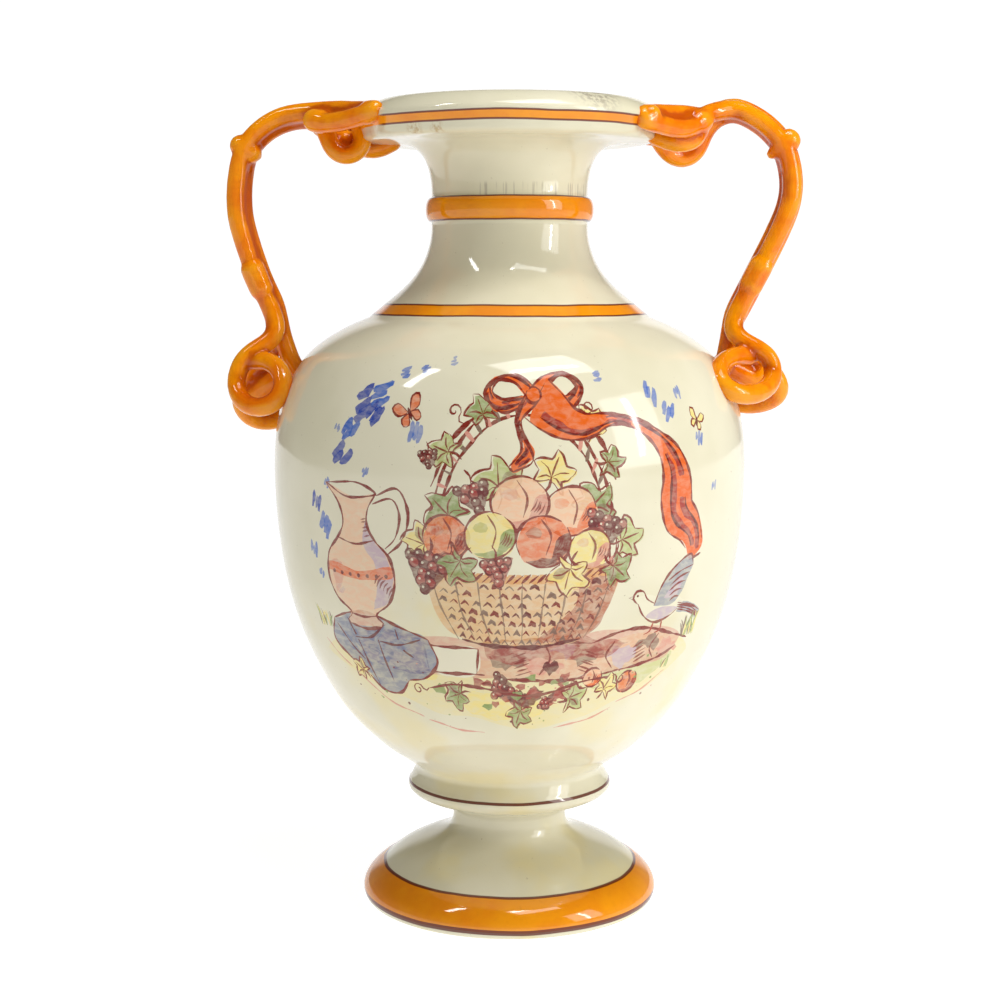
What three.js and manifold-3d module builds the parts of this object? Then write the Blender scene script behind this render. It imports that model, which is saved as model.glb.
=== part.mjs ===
// A two-handled painted pottery vase on a pedestal foot, thrown, luted and glazed as one piece.
// Millimetres, +Z up, the foot ring stands on z = 0 and the vase's axis is the Z axis.
// The front of the vase faces -Y and the handles reach out along -X and +X.

import * as THREE from 'three';
import { mergeVertices } from 'three/addons/utils/BufferGeometryUtils.js';
import Module from 'manifold-3d';

// Turned body: radii and heights up the axis
const around = 36;
const wall = 5.2;

const foot = { ring: 46.5, edge: 54.8, radius: 55.8, bulge: 2.8, shoulder: 46.4, shoulderHeight: 14.8 };
const stem = { radius: 21.4, bottom: 27.5, top: 34.5 };
const recess = { radius: 14, top: 45, height: 20.5 };
const flange = { radius: 38.5, height: 43.4, under: 40.8 };
const waist = { radius: 35.5, height: 51 };
const belly = { radius: 87.7, height: 166, floor: 54 };
const shoulder = { radius: 51.9, height: 220, edge: 50.2, edgeHeight: 221.6, step: 45.9, stepHeight: 225 };
const neck = { radius: 28.8, bottom: 250, top: 267.5, bore: 23.5 };
const neckRing = { radius: 31.1, height: 259.4, half: 3.9 };
const rim = { under: 283.2, underRadius: 50, radius: 56.2, height: 291.2, lip: 48, top: 298.4, mouth: 45.4 };

// Handles: three strands of clay side by side, which part into curls at both ends
const strand = { radius: 3.4, sides: 6, step: 6.3 };
const bundle = { sides: 12, steps: 13, overlap: 0.25 };
const curlStep = 25;

// side: -1 left or +1 right. arch: the bundle's centre line as [reach, height], from the rim to the split.
// lobes: how far out of that line and how deep each strand lies. A curl at the belly has its centre as
// [reach, depth, height], its half width and half height, lean (its bottom comes forward) and
// turn (its inner side comes forward). The bend leads into both curls, as [reach, distance from the
// middle, height], and drops with the curl. The other ends are a few places as [reach, depth, height].
const leftHandle = {
  side: -1,
  arch: [[78.5, 294.2], [89, 289.6], [96.6, 281.7], [99.4, 270.4], [99.7, 258], [97.4, 248], [92.8, 234.5],
    [88, 224.2]],
  lobes: {
    front: { out: 0.8, depth: -3.4 },
    middle: { out: -1.8, depth: 0.5 },
    back: { out: -0.4, depth: 3.4 },
  },
  bend: [[86, 5, 215.5], [89, 6.5, 210.8], [94.2, 8, 208], [98.6, 9, 204]],
  curl: { centre: [91.3, -15, 196.5], across: 9.6, down: 9, lean: 5, turn: 5 },
  backCurl: { centre: [92.8, 15, 188.5], across: 9.6, down: 9, lean: 5, turn: 5 },
  root: [[84.8, 2, 213], [83, 2, 207.5], [81.6, 2, 203], [78.5, 2, 199.5]],
  rimTail: [[68.5, -13, 290.5], [61, -20, 290.2], [53, -27, 290.6], [46.5, -30.5, 291.2]],
  rimReturn: [[46.5, -30.5, 291.2], [52, -22.5, 293.8], [60, -14, 294.6], [68, -8, 294.6]],
  underCurl: [[73, -1, 291.5], [68.8, -3, 286.5], [67.8, -5, 281.5], [63.5, -6, 277.9], [58, -6, 278.2],
    [54.8, -5, 282], [54.6, -3, 287.5]],
  underTail: [[64, 3, 279.5], [53, 9, 281.2], [44, 9, 284.5]],
  knuckle: { at: [100.2, -1.5, 283.3], size: [3.6, 4.6, 4.6] },
  bud: { at: [92.4, 0.5, 279.9], size: [2.6, 3.4, 2.8] },
  sheath: { at: [94, -2, 236.5], size: [4.2, 5.6, 4.4] },
};
const rightHandle = {
  side: 1,
  arch: [[78.5, 297], [91, 292], [100, 283.8], [103.8, 272], [103.4, 262], [98.2, 249], [91, 235], [84, 221]],
  lobes: {
    front: { out: 0, depth: -3.4 },
    middle: { out: -1.4, depth: 0.5 },
    back: { out: 1.6, depth: 3.4 },
  },
  bend: [[82, 5, 215.5], [84.2, 6.5, 212.4], [88.3, 8, 210.2], [93.2, 9, 207.6], [96.8, 9.5, 203.6]],
  curl: { centre: [85.2, -19, 200], across: 11.3, down: 7, lean: 9, turn: 9.5 },
  backCurl: { centre: [92, 17, 192.5], across: 11, down: 7, lean: 8, turn: 7 },
  root: [[82.2, 2, 212.5], [81.2, 2, 207.5], [80.6, 2, 203], [78, 2, 199.5]],
  rimTail: [[65, -11, 292.5], [58, -16, 292.3], [52, -22.5, 292.2], [46, -30, 291.4]],
  rimReturn: [[46, -30, 291.4], [53, -26, 288.6], [60, -20.5, 287.4], [66, -14, 289.2], [70.5, -8, 293.5]],
  underCurl: [[74.5, 1, 292], [71, 3, 286], [69.3, 4, 280.8], [64.4, 3.5, 277.9], [59, 1.5, 279.6],
    [55, -2, 284.5]],
  underTail: [[53, -9, 285.5], [60, -13.5, 282.6], [66.5, -12, 283.6], [69.5, -8, 288.5]],
  knuckle: { at: [104.2, 0, 285], size: [3.2, 4, 5] },
  bud: { at: [95.4, 0, 282.4], size: [2.2, 3.4, 3] },
  sheath: { at: [93.6, -2, 236], size: [4.2, 5.6, 4.4] },
};

const wasm = await Module();
wasm.setup();

// Points along a smooth curve through a few [radius, height] pairs
function smooth(pairs, divisions) {
  const curve = new THREE.SplineCurve(pairs.map(([r, z]) => new THREE.Vector2(r, z)));
  return curve.getSpacedPoints(divisions);
}

// Points on an arc that bulges out of the neck between two heights
function bead(radius, base, height, half, divisions) {
  const points = [];
  for (let i = 0; i <= divisions; i++) {
    const angle = -Math.PI / 2 + (Math.PI * i) / divisions;
    points.push(new THREE.Vector2(base + (radius - base) * Math.cos(angle), height + half * Math.sin(angle)));
  }
  return points;
}

function point(r, z) {
  return new THREE.Vector2(r, z);
}

// Underside of the foot, hollowed up into the stem
function recessProfile() {
  const rise = smooth([[foot.ring, 0], [41, 6.5], [31, 13.5], [recess.radius, recess.height]], 3);
  return [point(0, recess.top), point(recess.radius, recess.top - 2), ...rise.reverse()];
}

function footProfile() {
  const dome = smooth([
    [foot.radius, foot.bulge],
    [52.5, 7.8],
    [foot.shoulder, foot.shoulderHeight],
    [34.3, 21.5],
    [stem.radius + 2, 25],
    [stem.radius, stem.bottom + 1.5],
  ], 6);
  const flare = smooth([
    [stem.radius, stem.top],
    [24.6, 37],
    [33, 40],
    [flange.radius - 0.6, flange.under + 0.9],
    [flange.radius, flange.height],
    [flange.radius - 1, flange.height + 2.6],
    [waist.radius, waist.height],
  ], 7);
  return [point(foot.edge, 0), ...dome, ...flare];
}

function bellyProfile() {
  const rise = smooth([
    [waist.radius, waist.height],
    [41.4, 56],
    [53.8, 65.9],
    [64.8, 78.6],
    [73.9, 95.1],
    [81.5, 115],
    [86.2, 140],
    [belly.radius, belly.height],
    [85, 188],
    [76, 206],
    [64.5, 214.8],
    [shoulder.radius, shoulder.height],
  ], 15);
  return rise.slice(1);
}

function neckProfile() {
  const shoulderStep = [point(shoulder.edge, shoulder.edgeHeight), point(shoulder.step, shoulder.stepHeight)];
  const cove = smooth([
    [shoulder.step, shoulder.stepHeight],
    [37.6, 232.4],
    [32.2, 239],
    [neck.radius, neck.bottom],
  ], 4);
  const ring = bead(neckRing.radius, neck.radius, neckRing.height, neckRing.half, 3);
  const throat = smooth([[neck.radius, neck.top], [30.3, 276], [33.5, 281.5], [38, rim.under]], 2);
  return [...shoulderStep, ...cove.slice(1), ...ring, ...throat];
}

function rimProfile() {
  const bevel = smooth([
    [rim.radius, rim.height],
    [53.6, 295.2],
    [50.6, 297.6],
    [rim.lip, rim.top],
    [rim.mouth, rim.top - 1.4],
  ], 4);
  return [point(rim.underRadius, rim.under), point(54, 285), point(54.6, 287.8), ...bevel];
}

// Inside surfaces, one wall in from the outside
function insideProfile() {
  const mouth = smooth([
    [rim.mouth, rim.top - 1.4],
    [42.5, 292.6],
    [34, 289],
    [26.5, 283],
    [neck.bore, 272],
  ], 3);
  const bore = smooth([[neck.bore, neck.bottom - 2], [28, 236], [40, 223.5]], 2);
  const hollow = smooth([
    [40, 223.5],
    [62, 209.5],
    [belly.radius - wall - 2, 188],
    [belly.radius - wall, belly.height],
    [76.5, 117],
    [64, 88],
    [45, 65],
    [24, belly.floor + 1],
  ], 7);
  return [...mouth.slice(1), ...bore, ...hollow.slice(1), point(0, belly.floor)];
}

function turned(profile) {
  const geometry = new THREE.LatheGeometry(profile, around);
  geometry.rotateX(Math.PI / 2);
  return geometry;
}

function bodyGeometry() {
  return turned([
    ...recessProfile(),
    ...footProfile(),
    ...bellyProfile(),
    ...neckProfile(),
    ...rimProfile(),
    ...insideProfile(),
  ]);
}

// The space inside, from the floor to the mouth
function hollowGeometry() {
  const sides = insideProfile().reverse();
  return turned([...sides, point(rim.mouth, rim.top), point(0, rim.top)]);
}

// A closed mesh as a solid: shared vertices merged, and the slivers on the axis left out
function toSolid(geometry) {
  const bare = geometry.clone();
  bare.deleteAttribute('normal');
  bare.deleteAttribute('uv');
  const merged = mergeVertices(bare, 1e-3);
  const index = merged.index.array;
  const triangles = [];
  for (let i = 0; i < index.length; i += 3) {
    const [a, b, c] = [index[i], index[i + 1], index[i + 2]];
    if (a !== b && b !== c && c !== a) triangles.push(a, b, c);
  }
  const mesh = new wasm.Mesh({
    numProp: 3,
    vertProperties: new Float32Array(merged.attributes.position.array),
    triVerts: new Uint32Array(triangles),
  });
  return new wasm.Manifold(mesh);
}

// A smooth path through [reach, depth, height] places on the handle's side
function pathThrough(handle, places) {
  const points = places.map(([reach, depth, height]) => (
    new THREE.Vector3(handle.side * reach, depth, height)
  ));
  return new THREE.CatmullRomCurve3(points, false, 'centripetal');
}

// One stretch of a single strand
function tube(handle, places) {
  const path = pathThrough(handle, places);
  const section = new THREE.Shape();
  section.absarc(0, 0, strand.radius, 0, 2 * Math.PI);
  return toSolid(new THREE.ExtrudeGeometry(section, {
    steps: Math.ceil(path.getLength() / strand.step),
    extrudePath: path,
    curveSegments: strand.sides / 2,
  }));
}

function knob(handle, { at: [reach, depth, height], size: [across, through, tall] }) {
  const ball = new THREE.SphereGeometry(1, 6, 4);
  ball.scale(across, through, tall);
  ball.translate(handle.side * reach, depth, height);
  return toSolid(ball);
}

// The arch as one strand follows it: moved out of the centre line and to a depth
function archPlaces(handle, { out, depth }) {
  const line = new THREE.SplineCurve(handle.arch.map(([reach, height]) => new THREE.Vector2(reach, height)));
  return handle.arch.map((_, i) => {
    const t = i / (handle.arch.length - 1);
    const at = line.getPoint(t);
    const along = line.getTangent(t);
    return [at.x - along.y * out, depth, at.y + along.x * out];
  });
}

// The two ends of an arch strand, each a little way inside the bundle
function archEnds(handle, lobe) {
  const places = archPlaces(handle, lobe);
  const between = (a, b) => a.map((value, i) => value + (b[i] - value) * bundle.overlap);
  return {
    top: [places[0], between(places[0], places[1])],
    bottom: [between(places.at(-1), places.at(-2)), places.at(-1)],
  };
}

// Outline of the three strands side by side: in each direction, the farthest lobe
function bundleSection(handle) {
  const lobes = Object.values(handle.lobes).map(({ out, depth }) => (
    new THREE.Vector2(-depth, -handle.side * out)
  ));
  const points = [];
  for (let i = 0; i < bundle.sides; i++) {
    const angle = (2 * Math.PI * (i + 0.5)) / bundle.sides;
    const direction = new THREE.Vector2(Math.cos(angle), Math.sin(angle));
    const reaches = lobes.map((lobe) => {
      const along = lobe.dot(direction);
      const inside = strand.radius ** 2 - lobe.lengthSq() + along ** 2;
      return inside > 0 ? along + Math.sqrt(inside) : 0;
    });
    points.push(direction.multiplyScalar(Math.max(...reaches)));
  }
  return new THREE.Shape(points);
}

function archSolid(handle) {
  const path = pathThrough(handle, archPlaces(handle, { out: 0, depth: 0 }));
  return toSolid(new THREE.ExtrudeGeometry(bundleSection(handle), {
    steps: bundle.steps,
    extrudePath: path,
  }));
}

// Points on a leaning ring: 0 degrees is its outermost side, 90 its bottom, 180 where it meets the belly
function curlPlaces(curl, toward, fromDegrees, toDegrees) {
  const [reach, depth, height] = curl.centre;
  const places = [];
  for (let degrees = fromDegrees; degrees <= toDegrees; degrees += curlStep) {
    const angle = THREE.MathUtils.degToRad(degrees);
    const forward = curl.lean * Math.sin(angle) - curl.turn * Math.cos(angle);
    places.push([
      reach + curl.across * Math.cos(angle),
      depth + toward * forward,
      height - curl.down * Math.sin(angle),
    ]);
  }
  return places;
}

// An outer strand beyond the arch: its grip on the rim above, and below, the curl that touches the belly
function outerStrand(handle, lobe, curl) {
  const toward = Math.sign(lobe.depth);
  const flip = ([reach, depth, height]) => [reach, -depth * toward, height];
  const arch = archEnds(handle, lobe);
  const tail = tube(handle, handle.rimTail.map(flip));
  const grip = tube(handle, [...handle.rimReturn.map(flip), ...arch.top]);
  const drop = handle.curl.centre[2] - curl.centre[2];
  const bend = handle.bend.map(([reach, apart, height], i) => [
    reach + (i / handle.bend.length) * (curl.centre[0] - handle.curl.centre[0]),
    toward * apart,
    height - (drop * (i + 1)) / handle.bend.length,
  ]);
  const into = tube(handle, [...arch.bottom, ...bend, ...curlPlaces(curl, toward, -10, 190)]);
  const tip = tube(handle, curlPlaces(curl, toward, 185, 265));
  return [tail, grip, into, tip];
}

// The middle strand beyond the arch: its curl under the rim above, and below, its root in the belly
function middleStrand(handle) {
  const arch = archEnds(handle, handle.lobes.middle);
  const under = tube(handle, [arch.top[1], ...handle.underCurl]);
  const tail = tube(handle, handle.underTail);
  const root = tube(handle, [...arch.bottom, ...handle.root]);
  return [under, tail, root];
}

function handleSolids(handle) {
  return [
    archSolid(handle),
    ...outerStrand(handle, handle.lobes.front, handle.curl),
    ...outerStrand(handle, handle.lobes.back, handle.backCurl),
    ...middleStrand(handle),
    knob(handle, handle.knuckle),
    knob(handle, handle.bud),
    knob(handle, handle.sheath),
  ];
}

// The body and both handles joined, less what of the handles reaches through the wall into the hollow
function vaseGeometry() {
  const body = toSolid(bodyGeometry());
  const handles = [leftHandle, rightHandle].flatMap(handleSolids);
  const outside = wasm.Manifold.union(handles).subtract(toSolid(hollowGeometry()));
  const joined = wasm.Manifold.union([body, outside]);
  const largest = joined.decompose().reduce((a, b) => (a.volume() > b.volume() ? a : b));
  const mesh = largest.getMesh();
  const geometry = new THREE.BufferGeometry();
  geometry.setAttribute('position', new THREE.BufferAttribute(mesh.vertProperties, 3));
  geometry.setIndex(new THREE.BufferAttribute(mesh.triVerts, 1));
  geometry.computeVertexNormals();
  return geometry;
}

function glazedPottery() {
  return new THREE.MeshStandardMaterial({ color: 0xe6dfc8, roughness: 0.18, metalness: 0 });
}

const vase = new THREE.Mesh(vaseGeometry(), glazedPottery());
vase.name = 'vase';

const model = new THREE.Group();
model.add(vase);

export default model;
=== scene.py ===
# A two-handled painted pottery vase on a pedestal foot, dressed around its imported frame.
# Shapes are worked out in millimetres and put into Blender in metres. The front faces -Y.

import math
import random

import bpy
import numpy as np
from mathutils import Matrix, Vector
from mathutils.geometry import delaunay_2d_cdt
from mathutils.kdtree import KDTree

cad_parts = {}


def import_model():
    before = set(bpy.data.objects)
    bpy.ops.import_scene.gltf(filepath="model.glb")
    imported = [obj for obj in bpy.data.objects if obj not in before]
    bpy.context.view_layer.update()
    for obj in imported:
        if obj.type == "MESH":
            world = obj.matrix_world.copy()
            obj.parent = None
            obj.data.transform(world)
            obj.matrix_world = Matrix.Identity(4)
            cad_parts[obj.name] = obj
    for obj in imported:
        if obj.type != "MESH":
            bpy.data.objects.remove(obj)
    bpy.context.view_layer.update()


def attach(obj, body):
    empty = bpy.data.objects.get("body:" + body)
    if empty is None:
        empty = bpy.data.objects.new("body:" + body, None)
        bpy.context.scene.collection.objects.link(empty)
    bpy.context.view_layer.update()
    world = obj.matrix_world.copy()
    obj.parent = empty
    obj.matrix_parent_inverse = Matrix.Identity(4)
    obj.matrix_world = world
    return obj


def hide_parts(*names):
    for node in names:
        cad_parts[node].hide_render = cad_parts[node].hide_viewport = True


MM = 0.001
SEED = 7

# Turned body: (radius, height) places from the base up, one list for each stretch between corners
COLUMNS = 144
BASE_EDGE = [(53.6, 0), (54.7, 0.4), (55.4, 1.4), (55.8, 2.8)]
FOOT_BAND = [(55.8, 2.8), (55.8, 4.6), (55, 6.8), (53.1, 9.3), (50.4, 11.6), (47.3, 13.4)]
FOOT_TOP = [(47.3, 13.4), (45.2, 15.2), (41.3, 17.9), (34.3, 21.2), (27.2, 23.8), (23.2, 26.2), (21.7, 29),
            (21.4, 31.6), (21.6, 34.4)]
FLANGE_UNDER = [(21.6, 34.4), (24.2, 36.4), (28.4, 37.9), (33.2, 39.4), (36.8, 41), (38.3, 42.6),
                (38.5, 43.8)]
FLANGE = [(38.5, 43.8), (38.3, 45), (37.5, 46.1), (36.5, 48.2), (35.8, 50), (35.7, 51), (36.3, 52.1),
          (37.8, 53.3)]
BELLY = [(37.8, 53.3), (41.4, 56), (47.9, 60.6), (53.8, 65.9), (59.4, 71.6), (64.8, 78.6), (69.5, 86.6),
         (73.9, 95.1), (78.1, 105), (81.4, 115), (83.8, 125), (85.5, 135), (86.8, 146), (87.5, 157),
         (87.6, 168), (86.9, 178), (84.9, 188), (81.2, 197.5), (76, 205.4), (70.3, 210.6), (64.5, 214.4),
         (58.4, 217.6), (52, 220.2)]
SHOULDER_BAND = [(52, 220.2), (50.8, 221.3), (48.9, 222.8), (47.2, 224.2), (45.8, 225.4)]
COVE = [(45.8, 225.4), (42.3, 228.2), (38, 232.1), (34.7, 235.9), (32.3, 239.6), (30.3, 244.4), (29, 250),
        (28.8, 255)]
RING = {"base": 28.8, "proud": 31, "height": 259.4, "half": 4.4}
THROAT = [(28.8, 263.8), (28.8, 267.5), (29.2, 271), (30.3, 275.6), (32.6, 279.8), (36.4, 282.6), (41, 283.5)]
RIM_UNDER = [(41, 283.5), (49.6, 283.7), (52.4, 284), (53.6, 284.9)]
RIM_FACE = [(53.6, 284.9), (54.1, 287.2), (55.2, 289.6), (56.1, 291.2)]
RIM_TOP = [(56.1, 291.2), (55.8, 292.6), (53.9, 294.9), (51.2, 296.9), (48.4, 298.1), (46.4, 298),
           (44.9, 296.6)]
MOUTH = [(44.9, 296.6), (42.5, 292.8), (38.4, 290.4), (33.4, 288.2), (28.6, 284.8), (25, 279.4), (23.6, 272)]
BORE = [(23.6, 272), (23.5, 250), (25, 242), (30, 233), (40, 223.5)]
HOLLOW = [(40, 223.5), (52, 215.4), (63, 208.6), (74, 199.2), (80.4, 187), (82.4, 166), (80.9, 140),
          (76.4, 117), (70.4, 101), (62.4, 86), (53, 73.6), (42, 63.6), (30, 57), (16, 54.4),
          (0, 54)]
UNDERSIDE = [(0, 44.6), (8, 44.2), (13, 41.6), (14, 38), (14.2, 25), (16.4, 20.6), (22.6, 17.4),
             (31, 13.5), (38, 9), (43.4, 3.6), (46.2, 0.3), (46.6, 0)]
FINE, FAIR, CALM, LONG, MEDIUM, COARSE = 1.1, 1.6, 1.8, 2, 3, 6
CLOSEST = 0.15

# The painted field: how far round it reaches each side of the front, and its lowest and highest ring
FIELD_COLUMNS = 34
FIELD_LOW, FIELD_HIGH = 64, 214
ROUND = 87.6
SNAP = 0.02
SAME = 1e-4
ON_AXIS = 0.01
STEM_CLEAR = 30

# Bands and lines, as (lowest, highest) heights on the outside
RIM_BAND = (287.9, 290.9)
RING_BAND = (255.3, 263.5)
SHOULDER_STRIPE = (221.3, 225)
FOOT_STRIPE = (2.9, 13.1)
FLANGE_LINE = 44.9
LINE = 0.55

# The radius that a band lies outside of, so that it isn't drawn on the inside at its height
RIM_OUT, RING_OUT, SHOULDER_OUT, FLANGE_OUT, FOOT_OUT = 50, 27, 43.5, 33, 46
STRIPES = [
    (RIM_BAND, RIM_OUT), (RING_BAND, RING_OUT), (SHOULDER_STRIPE, SHOULDER_OUT), (FOOT_STRIPE, FOOT_OUT),
]
LINES = [
    (RIM_BAND[0], 1.2, RIM_OUT), (RIM_BAND[1], 1.2, RIM_OUT),
    (RING_BAND[0], 1.05, RING_OUT), (RING_BAND[1], 1.05, RING_OUT),
    (SHOULDER_STRIPE[0], 1.05, SHOULDER_OUT), (SHOULDER_STRIPE[1], 1.05, SHOULDER_OUT),
    (FLANGE_LINE, 1.9, FLANGE_OUT), (FOOT_STRIPE[0], 3.6, FOOT_OUT), (FOOT_STRIPE[1], 1.1, FOOT_OUT),
]

# Handles: strands of clay, radius and the places they pass through as [reach, depth, height]
STRAND = 3.5
VOXEL = 0.75
EASE = 12
TUBE_SIDES = 20
TUBE_STEP = 1.2
ARCH_STEP = 4
WAVER, WAVER_TURN = 0.03, 0.12
DOME = [(0.985, 0.17), (0.87, 0.5), (0.64, 0.77), (0.34, 0.94)]
CURL_STEP, CURL_END, CURL_TIGHTENS = 15, 285, 0.0011
SOFTENING, SOFTEN_ROUNDS, THINNED_TO = 0.5, 3, 0.36
THICKNESS = {"under_tail": 0.94, "collar": 1.29, "crossing": 1.08, "lobe": 1.22, "weld": 1.05, "plug": 1.25}
LEFT = {
    "side": -1,
    "arch": [(78.5, 294.2), (89, 289.6), (96.6, 281.7), (99.4, 270.4), (99.7, 258), (97.4, 248),
             (92.8, 234.5), (88, 224.2)],
    "front": {"out": 0.7, "depth": -3.2},
    "middle": {"out": -1.3, "depth": 0.8},
    "back": {"out": -0.4, "depth": 4},
    "bend": [(86, 5, 215.5), (89, 6.5, 210.8), (94.2, 8, 208), (98.6, 9, 204)],
    "curl": {"centre": (91.3, -15, 196.5), "across": 9.6, "down": 9, "lean": 5, "turn": 5},
    "back_curl": {"centre": (92.8, 15, 188.5), "across": 9.6, "down": 9, "lean": 5, "turn": 5},
    "root": [(84.8, 2, 213), (83, 2, 207.5), (81.6, 2, 203), (78.6, 2, 198.8)],
    "rim_tail": [(70.5, -12.5, 290.4), (66, -16, 289.6), (60, -20.5, 289.8), (53, -26, 291.2)],
    "hairpin": [(47.8, -30, 292.2), (46, -31, 293), (47.4, -28.5, 293.4)],
    "rim_return": [(53, -20.5, 293.6), (60, -13.5, 294.4), (68, -7.5, 294.6)],
    "under_curl": [(72, -1, 292.3), (67.4, -3, 289), (66.2, -5, 284.3), (63.8, -6, 279.9),
                   (59.6, -6.2, 278.3), (55.2, -6, 280), (53, -5, 284.3), (54.6, -3.5, 288.6)],
    "under_tail": [(66, 7, 285.5), (58, 8, 283.6), (50, 9, 281.6), (43.5, 9, 284.6)],
    "crossing": [(84, 5, 200), (90.5, 7, 195.5), (97, 9, 190.5)],
    "knuckle": [(95, -2, 280.4), (98.6, -2.2, 282.6)],
    "knuckle_radius": 4,
    "bud": [(95.4, -1.5, 281), (92.8, -1.2, 279.2)],
    "bud_radius": 1.9,
    "weld": [(50, -27.5, 291.6), (49.6, -26.6, 293)],
    "plug": [(61, 1.6, 284.6), (59, 1.6, 283.6)],
    "lobe": [(70.4, -12.8, 290.8), (67.4, -14.4, 290.2)],
    "collar": (230, 238.5),
}
RIGHT = {
    "side": 1,
    "arch": [(78.5, 297.6), (91, 292.3), (100, 283.8), (103.8, 272), (103.4, 262), (98.2, 249),
             (91, 235), (84, 221)],
    "front": {"out": -0.2, "depth": -3.2},
    "middle": {"out": -1, "depth": 0.8},
    "back": {"out": 1.5, "depth": 3.8},
    "bend": [(82, 5, 215.5), (84.2, 6.5, 212.4), (88.3, 8, 210.2), (93.2, 9, 207.6), (96.8, 9.5, 203.6)],
    "curl": {"centre": (85.6, -19, 200), "across": 11.3, "down": 7.2, "lean": 9, "turn": 9.5},
    "back_curl": {"centre": (92, 17, 192.5), "across": 11, "down": 7, "lean": 8, "turn": 7},
    "root": [(82.2, 2, 212.5), (81.2, 2, 207.5), (80.6, 2, 203), (78, 2, 199)],
    "rim_tail": [(67, -9.5, 292.6), (63, -12.5, 292.8), (58, -16.5, 292.6), (52, -23, 292.2)],
    "hairpin": [(46.4, -30, 291.6), (45.2, -31.6, 290.4), (47, -30.6, 289.4)],
    "rim_return": [(53, -26, 288.4), (60, -20.5, 287.2), (66, -14.5, 288.6), (71, -8.5, 293.2)],
    "under_curl": [(74.5, 1, 292), (71, 3, 286), (69.3, 4, 280.8), (64.4, 3.5, 277.9),
                   (59, 1.5, 279.6), (55, -2, 284.5)],
    "under_tail": [(53, -9, 285.5), (60, -13.5, 282.6), (66.5, -12, 283.6), (69.5, -8, 288.5)],
    "crossing": [(80, 5, 203), (88.5, 7, 198.5), (97, 9, 194.5)],
    "lobe": [(69.6, -10.6, 291), (68, -12.4, 290.4)],
    "knuckle": [(99.8, -1.8, 282.2), (102.2, -2, 284.4)],
    "knuckle_radius": 4.4,
    "bud": [(99.4, -1.5, 282.4), (96.4, -1.4, 279.8)],
    "bud_radius": 2,
    "weld": [(49.6, -28.6, 291.4), (49.8, -28, 289.6)],
    "plug": [(64.5, 3.6, 284), (62.5, 3.6, 283.2)],
    "collar": (230.5, 239),
}

# Camera as fitted to the photograph, in millimetres and degrees
CAMERA = {"x": -3.55, "y": -675.07, "height": 232.4, "down": 6.83, "lens": 65.0, "sensor": 36.0}

# Lamps: name, place, what it faces, size and power, in metres and watts
LAMPS = [
    ("right_softbox", (0.95, -0.50, 0.52), (0, 0, 0.17), (0.50, 0.75), 4.4),
    ("right_tube", (0.94, -0.49, 0.53), (0, 0, 0.17), (0.05, 0.60), 2.2),
    ("left_softbox", (-0.60, -0.30, 1.05), (0, 0, 0.25), (0.07, 0.36), 1.7),
    ("top_softbox", (0.20, -0.24, 1.15), (0, 0, 0.2), (0.55, 0.45), 4.2),
    ("top_tube", (0.20, -0.30, 1.12), (0, 0, 0.2), (0.45, 0.05), 2.0),
]

# How a light grows: from and to which value it is measured, and its strength at both
BACKDROP = (0.86, 0.945, 0.05, 1.05)
ROOM = (0.0, 0.6, 0.28, 0.04)
FLOOR_GLOW = (0.5, 1.6, 0.88, 1.02)
FLOOR_SIZE, FLOOR_DROP, FLOOR_GREY, FLOOR_ROUGH = 6, 0.0002, 0.4, 0.9

# Glaze: how strong and deep its dimples are, then the roughness and index of refraction of each
DIMPLE_STRENGTH, DIMPLE_DEPTH = 0.12, 0.0004
BODY_SHINE = (0.07, 1.5)
HANDLE_SHINE = (0.05, 1.40)


def spline(places, step):
    """Points about a step apart on a smooth curve through a few places of any dimension."""
    nodes = np.array(places, float)
    if len(nodes) == 2:
        count = max(1, round(np.linalg.norm(nodes[1] - nodes[0]) / step))
        share = np.linspace(0, 1, count + 1)[:, None]
        return nodes[0] + (nodes[1] - nodes[0]) * share
    ends = np.vstack([2 * nodes[0] - nodes[1], nodes, 2 * nodes[-1] - nodes[-2]])
    gaps = np.sqrt(np.linalg.norm(np.diff(ends, axis=0), axis=1)) + 1e-9
    times = np.concatenate([[0], np.cumsum(gaps)])
    points = [nodes[0]]
    for i in range(1, len(ends) - 2):
        count = max(1, round(np.linalg.norm(ends[i + 1] - ends[i]) / step))
        for share in np.linspace(0, 1, count + 1)[1:]:
            t = times[i] + (times[i + 1] - times[i]) * share
            points.append(centripetal(ends[i - 1:i + 3], times[i - 1:i + 3], t))
    return np.array(points)


def centripetal(level, times, t):
    """One point of a centripetal Catmull-Rom segment, by its pyramid of blends."""
    for starts, span in (((0, 1, 2), 1), ((0, 1), 2), ((1,), 1)):
        level = [
            level[i] * (times[s + span] - t) / (times[s + span] - times[s])
            + level[i + 1] * (t - times[s]) / (times[s + span] - times[s])
            for i, s in enumerate(starts)
        ]
    return level[0]


def unit(rows, least=0.0):
    """The rows of an array as directions."""
    return rows / (np.linalg.norm(rows, axis=1)[:, None] + least)


def to_left(along):
    """Flat directions turned a quarter to the left."""
    return np.column_stack([-along[:, 1], along[:, 0]])


def lengths_along(path):
    """How far each point of a path is from its start."""
    return np.concatenate([[0], np.cumsum(np.linalg.norm(np.diff(path, axis=0), axis=1))])


def bead(ring, count):
    """A rounded ring round the neck, from its lower edge to its upper one."""
    angles = np.linspace(-math.pi / 2, math.pi / 2, count)
    out = ring["base"] + (ring["proud"] - ring["base"]) * np.cos(angles) ** 0.8
    return np.column_stack([out, ring["height"] + ring["half"] * np.sin(angles)])


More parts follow.
